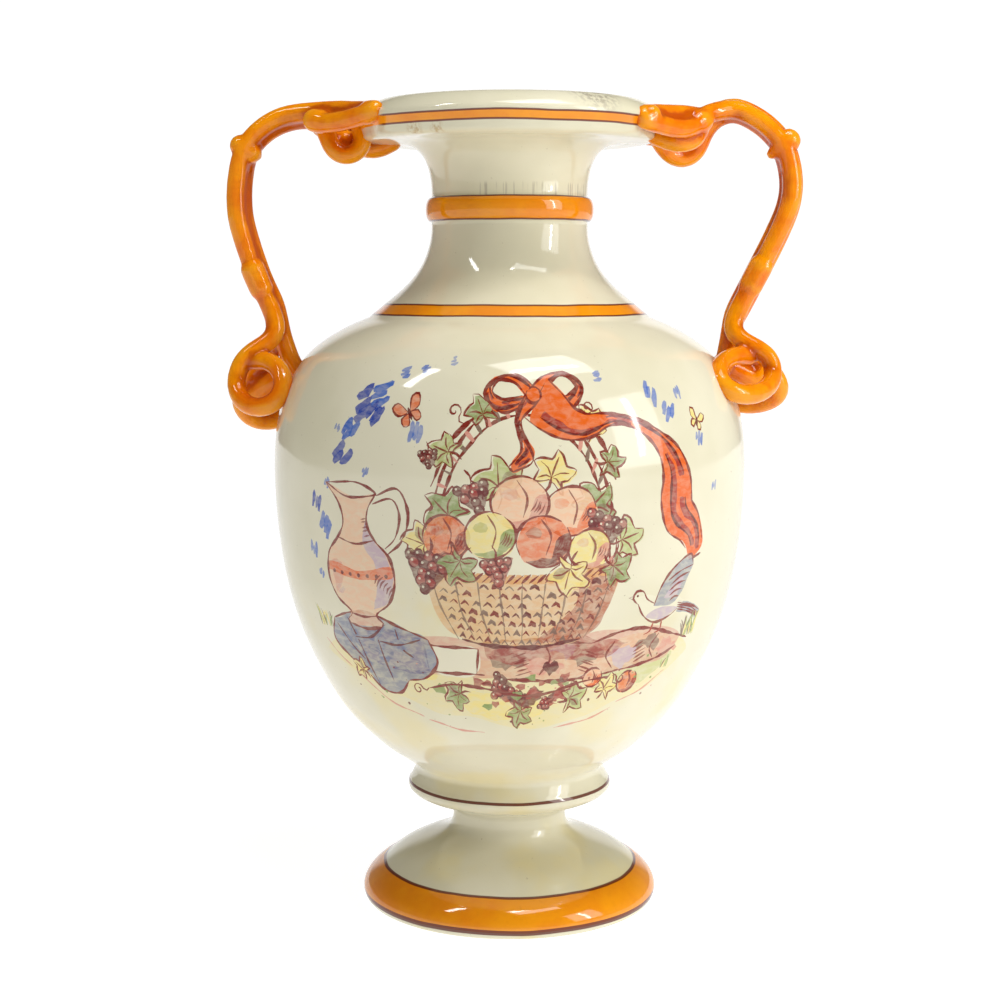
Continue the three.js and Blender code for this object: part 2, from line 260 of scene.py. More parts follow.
def profile():
    """The outline from the underside's middle round to the floor inside, and what of it is outside skin."""
    stretches = [(spline(UNDERSIDE, COARSE), 0), (np.array([UNDERSIDE[-1], BASE_EDGE[0]]), 0)]
    for places, step in (
        (BASE_EDGE, FINE), (FOOT_BAND, FINE), (FOOT_TOP, FAIR), (FLANGE_UNDER, FAIR), (FLANGE, FINE),
        (BELLY, MEDIUM), (SHOULDER_BAND, FINE), (COVE, CALM),
    ):
        stretches.append((spline(places, step), 1))
    stretches.append((bead(RING, 13), 1))
    for places, step in (
        (THROAT, CALM), (RIM_UNDER, LONG), (RIM_FACE, FINE), (RIM_TOP, FINE), (MOUTH, CALM),
    ):
        stretches.append((spline(places, step), 1))
    stretches.extend((spline(places, COARSE), 0) for places in (BORE, HOLLOW))
    points, skin = [stretches[0][0][0]], [0]
    for stretch, outside in stretches:
        for place in stretch:
            if np.linalg.norm(place - points[-1]) > CLOSEST:
                points.append(place)
                skin.append(outside)
    return np.array(points), skin


def profile_normals(points):
    """Outward (radial, upward) directions at the outline's points."""
    before = unit(np.diff(points, axis=0, prepend=points[:1] - (points[1:2] - points[:1])))
    after = unit(np.diff(points, axis=0, append=points[-1:] + (points[-1:] - points[-2:-1])))
    return unit(-to_left(before + after))


def on_body(azimuth, radius, height):
    """A place on the turned body, in metres. Azimuth 0 is the front and grows to the right."""
    return (
        radius * math.sin(azimuth) * MM,
        -radius * math.cos(azimuth) * MM,
        height * MM,
    )


def inside_polygon(points, polygon):
    """Which of the points a closed outline winds round."""
    start = polygon
    end = np.roll(polygon, -1, axis=0)
    x, y = points[:, 0:1], points[:, 1:2]
    left = (end[:, 0] - start[:, 0]) * (y - start[:, 1]) - (x - start[:, 0]) * (end[:, 1] - start[:, 1])
    up = (start[:, 1] <= y) & (end[:, 1] > y) & (left > 0)
    down = (start[:, 1] > y) & (end[:, 1] <= y) & (left < 0)
    return (up.sum(axis=1) - down.sum(axis=1)) != 0


def field_mesh(rings, shapes):
    """The painted field as flat triangles in (round, height), with the paint on each."""
    step = 2 * math.pi / COLUMNS * ROUND
    columns = np.arange(-FIELD_COLUMNS, FIELD_COLUMNS + 1) * step
    wide = len(columns)
    high = len(rings)
    ids = {}
    places = []

    def vertex(u, z):
        key = (round(u / SNAP), round(z / SNAP))
        if key not in ids:
            ids[key] = len(places)
            places.append(Vector((u, z)))
        return ids[key]

    grid = [vertex(u, z) for z in rings for u in columns]
    edges = set()
    for i in range(wide - 1):
        edges.add((grid[i], grid[i + 1]))
        edges.add((grid[(high - 1) * wide + i], grid[(high - 1) * wide + i + 1]))
    for j in range(high - 1):
        edges.add((grid[j * wide], grid[(j + 1) * wide]))
        edges.add((grid[j * wide + wide - 1], grid[(j + 1) * wide + wide - 1]))
    for shape in shapes:
        corners = [vertex(*p) for p in shape["outline"]]
        for a, b in zip(corners, corners[1:] + corners[:1]):
            if a != b:
                edges.add((min(a, b), max(a, b)))
    cut = delaunay_2d_cdt(places, sorted(edges), [], 0, SNAP / 20, False)
    points = np.array([tuple(v) for v in cut[0]])
    triangles = np.array(cut[2])
    centres = points[triangles].mean(axis=1)
    paint = np.zeros((len(triangles), 4))
    wash = np.zeros(len(triangles))
    for shape in shapes:
        outline = shape["outline"]
        low, high_corner = outline.min(axis=0), outline.max(axis=0)
        near = np.nonzero(((centres >= low) & (centres <= high_corner)).all(axis=1))[0]
        if not len(near):
            continue
        hit = near[inside_polygon(centres[near], outline)]
        cover = shape["cover"]
        total = cover + (1 - cover) * paint[hit, 3]
        mixed = cover * np.array(shape["colour"]) + ((1 - cover) * paint[hit, 3])[:, None] * paint[hit, :3]
        paint[hit, :3] = mixed / total[:, None]
        paint[hit, 3] = total
        wash[hit] = shape["wash"]
    return points, triangles, paint, wash


def body_object(shapes):
    """The turned body: rings all round, with the painted field's own triangles let in at the front."""
    points, skin = profile()
    outside = [i for i in range(len(points)) if skin[i]]
    belly = [i for i in outside if points[i][0] > STEM_CLEAR and points[i][1] < SHOULDER_STRIPE[1]]
    low = min(belly, key=lambda i: abs(points[i][1] - FIELD_LOW))
    high = min(belly, key=lambda i: abs(points[i][1] - FIELD_HIGH))
    verts, faces, paints, washes = [], [], [], []
    ring_start = []
    for radius, height in points:
        ring_start.append(len(verts))
        if radius < ON_AXIS:
            verts.append((0.0, 0.0, height * MM))
        else:
            verts.extend(on_body(2 * math.pi * j / COLUMNS, radius, height) for j in range(COLUMNS))
    for i in range(len(points) - 1):
        a, b = ring_start[i], ring_start[i + 1]
        single_a, single_b = points[i][0] < ON_AXIS, points[i + 1][0] < ON_AXIS
        for j in range(COLUMNS):
            signed = j if j < COLUMNS // 2 else j - COLUMNS
            if low <= i < high and -FIELD_COLUMNS <= signed < FIELD_COLUMNS:
                continue
            k = (j + 1) % COLUMNS
            if single_a:
                faces.append((a, b + k, b + j))
            elif single_b:
                faces.append((a + j, a + k, b))
            else:
                faces.append((a + j, a + k, b + k, b + j))
            paints.append((0.0, 0.0, 0.0, 0.0))
            washes.append(0.0)
    rings = points[low:high + 1]
    flat, triangles, paint, wash = field_mesh(rings[:, 1], shapes)
    fine = spline(BELLY, 0.5)
    radii_fine = np.interp(flat[:, 1], fine[:, 1], fine[:, 0])
    step = 2 * math.pi / COLUMNS
    edge = FIELD_COLUMNS * step * ROUND
    place = []
    for (u, z), r in zip(flat, radii_fine):
        ring = low + int(np.argmin(np.abs(rings[:, 1] - z)))
        level = abs(points[ring][1] - z) < SAME
        if level and (ring in (low, high) or abs(abs(u) - edge) < SAME):
            place.append(ring_start[ring] + round(u / ROUND / step) % COLUMNS)
        else:
            place.append(len(verts))
            verts.append(on_body(u / ROUND, r, z))
    faces.extend(tuple(place[v] for v in t) for t in triangles)
    paints.extend(map(tuple, paint))
    washes.extend(wash)
    used = sorted({v for f in faces for v in f})
    renumber = {v: i for i, v in enumerate(used)}
    verts = [verts[v] for v in used]
    faces = [tuple(renumber[v] for v in f) for f in faces]
    made = new_object("body", verts, faces)
    counts = [len(f) for f in faces]
    for name, kind, key, values in (
        ("paint", "FLOAT_COLOR", "color", paints),
        ("wash", "FLOAT", "value", washes),
    ):
        made.data.attributes.new(name, kind, "CORNER")
        each = np.repeat(np.array(values), counts, axis=0).ravel()
        made.data.attributes[name].data.foreach_set(key, each)
    return made


def new_object(name, verts, faces):
    """An object in the scene, of one new mesh."""
    mesh = bpy.data.meshes.new(name)
    mesh.from_pydata(verts, [], faces)
    made = bpy.data.objects.new(name, mesh)
    bpy.context.collection.objects.link(made)
    return made


def domed(ring, sink, out):
    """A tube's end ring, sunk to a share of its girth and moved out along the tube."""
    centre, size, normal, across, along = ring
    return centre + along * size * out, size * sink, normal, across


def tube(places, side, radius, lumps):
    """A rod of clay through places on a handle's side, with rounded ends and a slightly uneven girth."""
    path = spline([(side * reach, depth, height) for reach, depth, height in places], TUBE_STEP)
    for _ in range(EASE):
        path[1:-1] = 0.25 * path[:-2] + 0.5 * path[1:-1] + 0.25 * path[2:]
    along = unit(np.gradient(path, axis=0))
    girth = radius * (1 + WAVER * np.sin(lengths_along(path) * WAVER_TURN + lumps))
    sides = TUBE_SIDES
    normal = np.cross(along[0], (0.31, 0.17, 0.93))
    normal /= np.linalg.norm(normal)
    rings = []
    for centre, size, heading in zip(path, girth, along):
        normal = normal - heading * normal.dot(heading)
        normal /= np.linalg.norm(normal)
        rings.append((centre, size, normal.copy(), np.cross(heading, normal), heading))
    first, last = rings[0], rings[-1]
    steps = [domed(first, sink, -out) for sink, out in reversed(DOME)]
    steps.extend(ring[:4] for ring in rings)
    steps.extend(domed(last, sink, out) for sink, out in DOME)
    verts = [first[0] - first[4] * first[1]]
    for centre, size, n, a in steps:
        for k in range(sides):
            angle = 2 * math.pi * k / sides
            verts.append(centre + size * (n * math.cos(angle) + a * math.sin(angle)))
    verts.append(last[0] + last[4] * last[1])
    faces = [(0, 1 + (k + 1) % sides, 1 + k) for k in range(sides)]
    for i in range(len(steps) - 1):
        a, b = 1 + i * sides, 1 + (i + 1) * sides
        faces.extend((a + k, a + (k + 1) % sides, b + (k + 1) % sides, b + k) for k in range(sides))
    tip = len(verts) - 1
    a = 1 + (len(steps) - 1) * sides
    faces.extend((a + k, a + (k + 1) % sides, tip) for k in range(sides))
    return verts, faces


def arch_places(handle, strand):
    """The arch's line, moved out and to a strand's depth."""
    line = spline(handle["arch"], ARCH_STEP)
    along = unit(np.gradient(line, axis=0))
    out = handle[strand]["out"]
    depth = handle[strand]["depth"]
    return [(x - t[1] * out, depth, z + t[0] * out) for (x, z), t in zip(line, along)]


def curl_places(curl, toward):
    """A leaning ring: 0 degrees is outermost, 90 its bottom, 180 where it meets the belly."""
    reach, depth, height = curl["centre"]
    places = []
    for degrees in range(0, CURL_END + 1, CURL_STEP):
        angle = math.radians(degrees)
        forward = curl["lean"] * math.sin(angle) - curl["turn"] * math.cos(angle)
        tighten = 1 - CURL_TIGHTENS * max(0, degrees - 180)
        places.append((
            reach + tighten * curl["across"] * math.cos(angle),
            depth + toward * forward,
            height - tighten * curl["down"] * math.sin(angle),
        ))
    return places


def outer_strand(handle, strand, curl):
    """From its tip on the rim, round the hairpin, over the arch and into the curl on the belly."""
    toward = 1 if handle[strand]["depth"] > 0 else -1
    grip = [
        (reach, -depth * toward, height)
        for reach, depth, height in handle["rim_tail"] + handle["hairpin"] + handle["rim_return"]
    ]
    arch = arch_places(handle, strand)[1:]
    drop = handle["curl"]["centre"][2] - handle[curl]["centre"][2]
    shift = handle[curl]["centre"][0] - handle["curl"]["centre"][0]
    count = len(handle["bend"])
    bend = [
        (reach + shift * i / count, toward * apart, height - drop * (i + 1) / count)
        for i, (reach, apart, height) in enumerate(handle["bend"])
    ]
    return grip + arch + bend + curl_places(handle[curl], toward)


def handle_object(handle):
    """All the strands and stubs of one handle, fused like soft clay under thick glaze."""
    side = handle["side"]
    arch = arch_places(handle, "middle")
    low, high = handle["collar"]
    collar = [place for place in arch_places(handle, "front") if low < place[2] < high]
    pieces = [
        tube(outer_strand(handle, "front", "curl"), side, STRAND, 0.4),
        tube(outer_strand(handle, "back", "back_curl"), side, STRAND, 1.9),
        tube(handle["under_curl"][::-1] + arch[1:] + handle["root"], side, STRAND, 3.1),
        tube(handle["under_tail"], side, STRAND * THICKNESS["under_tail"], 0.9),
        tube(handle["knuckle"], side, handle["knuckle_radius"], 1.2),
        tube(handle["bud"], side, handle["bud_radius"], 2.2),
        tube(collar, side, STRAND * THICKNESS["collar"], 2.8),
    ]
    for name in ("crossing", "lobe", "weld", "plug"):
        pieces.append(tube(handle[name], side, STRAND * THICKNESS[name], 0.0))
    verts, faces = [], []
    for piece_verts, piece_faces in pieces:
        base = len(verts)
        verts.extend(tuple(v * MM) for v in piece_verts)
        faces.extend(tuple(base + i for i in f) for f in piece_faces)
    made = new_object("handle", verts, faces)
    fuse = made.modifiers.new("fuse", "REMESH")
    fuse.mode = "VOXEL"
    fuse.voxel_size = VOXEL * MM
    soften = made.modifiers.new("soften", "SMOOTH")
    soften.factor = SOFTENING
    soften.iterations = SOFTEN_ROUNDS
    made.modifiers.new("thin", "DECIMATE").ratio = THINNED_TO
    apply_modifiers(made)
    return made


def apply_modifiers(made):
    """Put an object's modified mesh in place of its own."""
    graph = bpy.context.evaluated_depsgraph_get()
    mesh = bpy.data.meshes.new_from_object(made.evaluated_get(graph))
    made.modifiers.clear()
    made.data = mesh


def join_body_and_handles(body, handles):
    """One closed skin: the body first, then each handle luted on."""
    for handle in handles:
        union = body.modifiers.new("lute", "BOOLEAN")
        union.operation = "UNION"
        union.solver = "MANIFOLD"
        union.object = handle
        apply_modifiers(body)
    for handle in handles:
        bpy.data.objects.remove(handle)
    return body


def read(items, name, width=1, kind=float):
    """One property of all of a mesh's items, as an array."""
    values = np.empty(len(items) * width, kind)
    items.foreach_get(name, values)
    return values.reshape(-1, width) if width > 1 else values


def finish_normals(vase):
    """Exact normals on the turned body, whatever its triangles, and smooth ones on the handles."""
    mesh = vase.data
    points, _ = profile()
    fine = [points[0]]
    normals = profile_normals(points)
    fine_normals = [normals[0]]
    for i in range(1, len(points)):
        for share in (0.25, 0.5, 0.75, 1.0):
            fine.append(points[i - 1] + (points[i] - points[i - 1]) * share)
            n = normals[i - 1] + (normals[i] - normals[i - 1]) * share
            fine_normals.append(n / np.linalg.norm(n))
    tree = KDTree(len(fine))
    for i, (r, z) in enumerate(fine):
        tree.insert((r, z, 0), i)
    tree.balance()
    count = len(mesh.vertices)
    places = read(mesh.vertices, "co", 3) / MM
    radii = np.hypot(places[:, 0], places[:, 1])
    turned = np.zeros((count, 3))
    for i in range(count):
        _, index, _ = tree.find((radii[i], places[i, 2], 0))
        nr, nz = fine_normals[index]
        if radii[i] > 1e-3:
            turned[i] = (nr * places[i, 0] / radii[i], nr * places[i, 1] / radii[i], nz)
        else:
            turned[i] = (0, 0, nz)
    faces = mesh.polygons
    face_count = len(faces)
    slots = read(faces, "material_index", kind=np.int32)
    totals = read(faces, "loop_total", kind=np.int32)
    loops = read(mesh.loops, "vertex_index", kind=np.int32)
    areas = read(faces, "area")
    face_normals = read(faces, "normal", 3)
    loop_face = np.repeat(np.arange(face_count), totals)
    clay = slots[loop_face] == 1
    summed = np.zeros((count, 3))
    np.add.at(summed, loops[clay], (face_normals * areas[:, None])[loop_face[clay]])
    lengths = np.linalg.norm(summed, axis=1)
    summed[lengths > 0] /= lengths[lengths > 0][:, None]
    final = np.where(clay[:, None], summed[loops], turned[loops])
    mesh.polygons.foreach_set("use_smooth", np.ones(face_count, bool))
    mesh.normals_split_custom_set(final)
    return places, loops, totals, slots, summed


def mark_pools_and_shade(vase, places, loops, totals, slots, normals):
    """Where the glaze pools, which the handles' colour also uses as painted shade in grooves and painted
    highlight on ridges: millimetres that a place is sunk in a groove, below zero on a ridge.
    """
    mesh = vase.data
    count = len(places)
    edges = read(mesh.edges, "vertices", 2, np.int32)
    on_handle = np.zeros(count, bool)
    loop_face = np.repeat(np.arange(len(totals)), totals)
    on_handle[loops[slots[loop_face] == 1]] = True
    edges = edges[on_handle[edges].all(axis=1)]

    def over_neighbours(values):
        total = np.zeros_like(values)
        np.add.at(total, edges[:, 0], values[edges[:, 1]])
        np.add.at(total, edges[:, 1], values[edges[:, 0]])
        return total

    degree = over_neighbours(np.ones(count))
    degree[degree == 0] = 1
    moved = places.copy()
    for _ in range(8):
        total = over_neighbours(moved)
        moved = np.where(on_handle[:, None], 0.4 * moved + 0.6 * total / degree[:, None], moved)
    sunk = ((moved - places) * normals).sum(axis=1)
    for _ in range(3):
        sunk = np.where(on_handle, 0.5 * sunk + 0.5 * over_neighbours(sunk) / degree, sunk)
    pool_and_shade = mesh.attributes.new("pool_and_shade", "FLOAT", "POINT")
    pool_and_shade.data.foreach_set("value", np.where(on_handle, sunk, -0.2))


class Nodes:
    """A material's node tree, with short ways to add to it."""

    def __init__(self, name):
        self.material = bpy.data.materials.new(name)
        self.material.use_nodes = True
        self.tree = self.material.node_tree
        self.shader = self.tree.nodes["Principled BSDF"]

    def link(self, value, socket):
        if isinstance(value, bpy.types.NodeSocket):
            self.tree.links.new(value, socket)
        elif isinstance(value, (tuple, list)) and socket.type == "RGBA" and len(value) == 3:
            socket.default_value = (*value, 1.0)
        else:
            socket.default_value = value

    def add(self, kind, *values, output=0, **named):
        node = self.tree.nodes.new(kind)
        sockets = {}
        for key, value in named.items():
            if hasattr(node, key):
                setattr(node, key, value)
            else:
                sockets[key] = value
        for index, value in enumerate(values):
            if value is not None:
                self.link(value, node.inputs[index])
        for key, value in sockets.items():
            self.link(value, node.inputs[key])
        return node.outputs[output]

    def math(self, operation, a, b=0.0):
        return self.add("ShaderNodeMath", a, b, operation=operation)

    def times(self, *values):
        """The product of two or more values."""
        total = values[0]
        for value in values[1:]:
            total = self.math("MULTIPLY", total, value)
        return total

    def uneven(self, noise, reach):
        """A noise centred on zero."""
        return self.times(self.math("SUBTRACT", noise, 0.5), reach)

    def mix(self, share, a, b):
        node = self.tree.nodes.new("ShaderNodeMix")
        node.data_type = "RGBA"
        self.link(share, node.inputs[0])
        self.link(a, node.inputs[6])
        self.link(b, node.inputs[7])
        return node.outputs[2]

    def ramp(self, value, low, high, out_low=0.0, out_high=1.0):
        return map_range(self.tree, value, (low, high, out_low, out_high))

    def noise(self, place, scale, detail=3.0, rough=0.5, distort=0.0):
        return self.add("ShaderNodeTexNoise", Vector=place, Scale=scale, Detail=detail, Roughness=rough,
                        Distortion=distort)

    def between(self, value, low, high, soft):
        rise = self.ramp(value, low - soft, low + soft)
        fall = self.ramp(value, high - soft, high + soft, 1.0, 0.0)
        return self.times(rise, fall)

    def place(self):
        """Object coordinates in millimetres, whole and apart, and the distance from the axis."""
        at = self.add("ShaderNodeTexCoord", output=3)
        scaled = self.add("ShaderNodeVectorMath", at, operation="SCALE", Scale=1 / MM)
        apart = self.tree.nodes.new("ShaderNodeSeparateXYZ")
        self.link(scaled, apart.inputs[0])
        x, y, z = apart.outputs
        radius = self.math("SQRT", self.math("ADD", self.times(x, x), self.times(y, y)))
        return scaled, x, z, radius

    def distance(self, place, point):
        return self.add("ShaderNodeVectorMath", place, point, operation="DISTANCE", output="Value")

    def attribute(self, name, output=0):
        return self.add("ShaderNodeAttribute", attribute_name=name, output=output)

    def stretched(self, place, x, y, z):
        return self.add("ShaderNodeMapping", place, Scale=(x, y, z))

    def finish(self, colour, dimples, shine):
        """The glaze's colour and shine, with shallow dimples pressed in."""
        bump = self.add("ShaderNodeBump", Strength=DIMPLE_STRENGTH, Distance=DIMPLE_DEPTH, Height=dimples)
        for name, value in zip(("Base Color", "Normal", "Roughness", "IOR"), (colour, bump, *shine)):
            self.link(value, self.shader.inputs[name])
        return self.material


def map_range(tree, value, numbers, smooth=True):
    """A value taken from one range to another: numbers are from low, from high, to low, to high."""
    node = tree.nodes.new("ShaderNodeMapRange")
    if smooth:
        node.interpolation_type = "SMOOTHSTEP"
    tree.links.new(value, node.inputs[0])
    for index, number in enumerate(numbers):
        node.inputs[index + 1].default_value = number
    return node.outputs[0]


# Glaze colours, linear
CREAM = (0.79, 0.742, 0.555)
CREAM_GREY = (0.71, 0.665, 0.475)
# Warm yellow laid in as painted shade, low on the belly
WARM_SHADE = (0.81, 0.68, 0.30)
AMBER = (0.80, 0.165, 0.001)
AMBER_LIGHT = (0.93, 0.31, 0.0015)
AMBER_RED = (0.62, 0.13, 0.002)
# Also laid over the handles' ridges as painted highlight
BAND_YELLOW = (0.90, 0.34, 0.010)
# Glaze pooled in the handles' grooves, darkened further as painted shade
AMBER_POOL_SHADE = (0.47, 0.058, 0.001)
LINE_BROWN = (0.125, 0.012, 0.004)
# Brownish yellow for stains, and for the painted shade round the handles' curls
STAIN_AND_SHADE = (0.52, 0.36, 0.16)
SOOT = (0.34, 0.29, 0.22)
SPECK = (0.30, 0.22, 0.12)

# Pigments, linear
OUTLINE_RED = (0.215, 0.017, 0.009)
WINE = (0.135, 0.006, 0.006)
WINE_LIGHT = (0.36, 0.035, 0.025)
SCARLET = (0.76, 0.125, 0.012)
SCARLET_DEEP = (0.36, 0.030, 0.010)
PEACH = (0.86, 0.47, 0.27)
ROSE = (0.66, 0.27, 0.20)
SKY = (0.045, 0.135, 0.50)
SKY_DEEP = (0.018, 0.055, 0.36)
SLATE = (0.17, 0.19, 0.29)
LEAF = (0.22, 0.30, 0.075)
LEAF_PALE = (0.45, 0.50, 0.17)
STRAW = (0.84, 0.68, 0.20)
UMBER = (0.20, 0.105, 0.07)
WICKER = (0.72, 0.36, 0.12)
LILAC = (0.52, 0.40, 0.47)

# A few loose touches on the plain back: a place, its half length, how flat it is, its colour
BACK_DABS = [
    ((-30.0, 82.0, 158.0), 4.6, 0.55, SKY),
    ((-21.0, 85.0, 167.0), 5.6, 0.45, SKY_DEEP),
    ((-9.0, 87.0, 174.0), 4.2, 0.60, SKY),
    ((4.0, 87.0, 178.0), 2.6, 0.70, SKY),
    ((33.0, 81.0, 168.0), 3.6, 0.55, SKY),
    ((15.0, 86.0, 139.0), 4.6, 0.50, LEAF),
    ((24.0, 83.0, 133.0), 5.2, 0.45, LEAF_PALE),
    ((6.0, 86.0, 131.0), 3.0, 0.80, WINE_LIGHT),
    ((11.0, 85.5, 127.0), 2.6, 0.90, WINE),
]

# Stains, wear and painted shade: a place on the body, how far it reaches, its colour, strength and the grain
# that breaks it
MARKS = [
    # Painted shade on the belly's sides, round where the handles' curls meet it
    ((-80.0, -14.0, 196.0), 26.0, STAIN_AND_SHADE, 0.34, 0.10),
    ((-74.0, -22.0, 176.0), 24.0, STAIN_AND_SHADE, 0.22, 0.07),
    ((80.0, -16.0, 190.0), 22.0, STAIN_AND_SHADE, 0.30, 0.10),
    ((82.0, -14.0, 172.0), 18.0, STAIN_AND_SHADE, 0.20, 0.08),
    # Brownish marks on the rim's face just below the handles' tips, then small stains on the rim and its top
    ((-50.0, -26.0, 287.0), 9.0, STAIN_AND_SHADE, 0.45, 0.25),
    ((50.0, -26.0, 287.0), 8.0, STAIN_AND_SHADE, 0.35, 0.25),
    ((-33.0, -42.0, 285.6), 4.5, STAIN_AND_SHADE, 0.85, 0.55),
    ((-25.0, -47.0, 285.4), 3.6, STAIN_AND_SHADE, 0.80, 0.60),
    ((28.0, -40.0, 297.4), 13.0, SOOT, 0.80, 0.50),
    ((-46.0, -10.0, 297.6), 12.0, STAIN_AND_SHADE, 0.45, 0.35),
    # Painted warm shade low on the belly's front
    ((-20.0, -70.0, 118.0), 30.0, WARM_SHADE, 0.45, 0.05),
]


def amber(tree, place, pool_and_shade):
    """Thick orange-yellow glaze: mottled, darker and redder where it pools deep in grooves, pale over ridges;
    this also paints shade into the grooves and highlight onto the ridges.
    """
    cloud = tree.noise(place, 0.06, 3.0, 0.6)
    fine = tree.noise(place, 0.45, 4.0, 0.6)
    base = tree.mix(tree.ramp(cloud, 0.35, 0.65), AMBER, AMBER_LIGHT)
    mottled = tree.mix(tree.ramp(fine, 0.5, 0.72, 0.0, 0.26), base, AMBER_RED)
    if pool_and_shade is None:
        return mottled
    uneven = tree.math("ADD", pool_and_shade, tree.uneven(fine, 0.10))
    # Grooves take the deep red and ridges the pale yellow: glaze pooling, and also painted shade in the
    # grooves and painted highlight on the ridges
    deep = tree.mix(tree.ramp(uneven, -0.18, 0.12, 0.0, 0.85), mottled, AMBER_POOL_SHADE)
    return tree.mix(tree.ramp(uneven, -0.42, -0.22, 0.85, 0.0), deep, BAND_YELLOW)


def handle_material():
    """Amber glaze over the fused strands."""
    tree = Nodes("amber_glaze")
    place, _, _, _ = tree.place()
    colour = amber(tree, place, tree.attribute("pool_and_shade", 2))
    return tree.finish(colour, tree.noise(place, 0.35, 2.0), HANDLE_SHINE)


def clay_colour(tree, place, x, z, radius):
    """Off-white glaze, its stains and wear, painted warm shade low on the belly and round the handles' curls,
    and the loose touches on the back.
    """
    cloud = tree.noise(place, 0.02, 3.0, 0.55)
    colour = tree.mix(tree.ramp(cloud, 0.35, 0.7), CREAM, CREAM_GREY)
    # Painted warm shade, stronger towards the bottom of the belly and broken by noise
    yellow = tree.times(tree.ramp(tree.noise(place, 0.035, 3.0), 0.45, 0.7), tree.ramp(z, 150.0, 80.0))
    colour = tree.mix(tree.times(yellow, 0.5), colour, WARM_SHADE)
    speck = tree.noise(place, 0.9, 2.0, 0.5)
    colour = tree.mix(tree.ramp(speck, 0.74, 0.78, 0.0, 0.5), colour, SPECK)
    # Stains on the rim, and patches of painted shade on the belly
    for at, reach, tone, strength, grain in MARKS:
        near = tree.ramp(tree.distance(place, at), reach * 0.25, reach, strength, 0.0)
        broken = tree.ramp(tree.noise(place, grain, 3.0, 0.6), 0.42, 0.62)
        colour = tree.mix(tree.times(near, broken), colour, tone)
    ragged = tree.uneven(tree.noise(place, 0.35, 3.0), 2.2)
    for at, reach, flat, tone in BACK_DABS:
        scaled = tree.stretched(place, 1.0, 1.0, 1 / flat)
        gap = tree.distance(scaled, (at[0], at[1], at[2] / flat))
        dab = tree.ramp(tree.math("ADD", gap, ragged), reach * 0.85, reach, 0.72, 0.0)
        colour = tree.mix(dab, colour, tone)
    pulls = tree.noise(tree.stretched(place, 0.9, 0.9, 0.03), 1.0, 2.0)
    pulls = tree.times(
        tree.ramp(pulls, 0.52, 0.62, 0.0, 0.55), tree.between(z, 263.0, 268.0, 1.0),
        tree.ramp(radius, 27.0, 27.5), tree.ramp(x, -14.0, -8.0),
    )
    return tree.mix(pulls, colour, SOOT)


def with_painting(tree, place, colour):
    """The pigments over the glaze, thin where a wash runs out."""
    wash = tree.attribute("wash", 2)
    streak = tree.noise(tree.stretched(place, 0.25, 0.25, 0.5), 1.0, 4.0, 0.62, 0.6)
    thin = tree.times(wash, tree.ramp(streak, 0.35, 0.68))
    opaque = tree.times(tree.attribute("paint", 3), tree.math("SUBTRACT", 1.0, tree.times(thin, 0.42)))
    return tree.mix(opaque, colour, tree.attribute("paint", 0))


def with_bands(tree, place, x, z, radius, colour):
    """The amber stripes and the dark lines that edge them, all a little uneven."""
    height = tree.math("ADD", z, tree.uneven(tree.noise(place, 0.035, 2.0), 0.9))
    band = tree.mix(0.55, amber(tree, place, None), BAND_YELLOW)
    for (low, high), inner in STRIPES:
        outside = tree.ramp(radius, inner - 0.3, inner + 0.3)
        colour = tree.mix(tree.times(tree.between(height, low, high, 0.12), outside), colour, band)
    for middle, thick, inner in LINES:
        half = LINE * thick / 2
        outside = tree.ramp(radius, inner - 0.3, inner + 0.3)
        mask = tree.times(tree.between(height, middle - half, middle + half, 0.1), outside)
        if middle in RIM_BAND:
            mask = tree.times(mask, tree.ramp(tree.math("ABSOLUTE", x), 44.0, 47.0, 1.0, 0.0))
        colour = tree.mix(tree.times(mask, 0.92), colour, LINE_BROWN)
    return colour


def body_material():
    """Off-white glaze with the painting, the stripes and the lines over it."""
    tree = Nodes("painted_glaze")
    place, x, z, radius = tree.place()
    colour = clay_colour(tree, place, x, z, radius)
    colour = with_painting(tree, place, colour)
    colour = with_bands(tree, place, x, z, radius, colour)
    return tree.finish(colour, tree.noise(place, 0.10, 2.0), BODY_SHINE)


# How much stronger and broader than given every touch is
STRENGTH = 2.2
BROAD = 1.65
PULL_STEP, WASH_STEP, SILK_STEP = 1.35, 1.5, 2.4
TINY = 1e-9


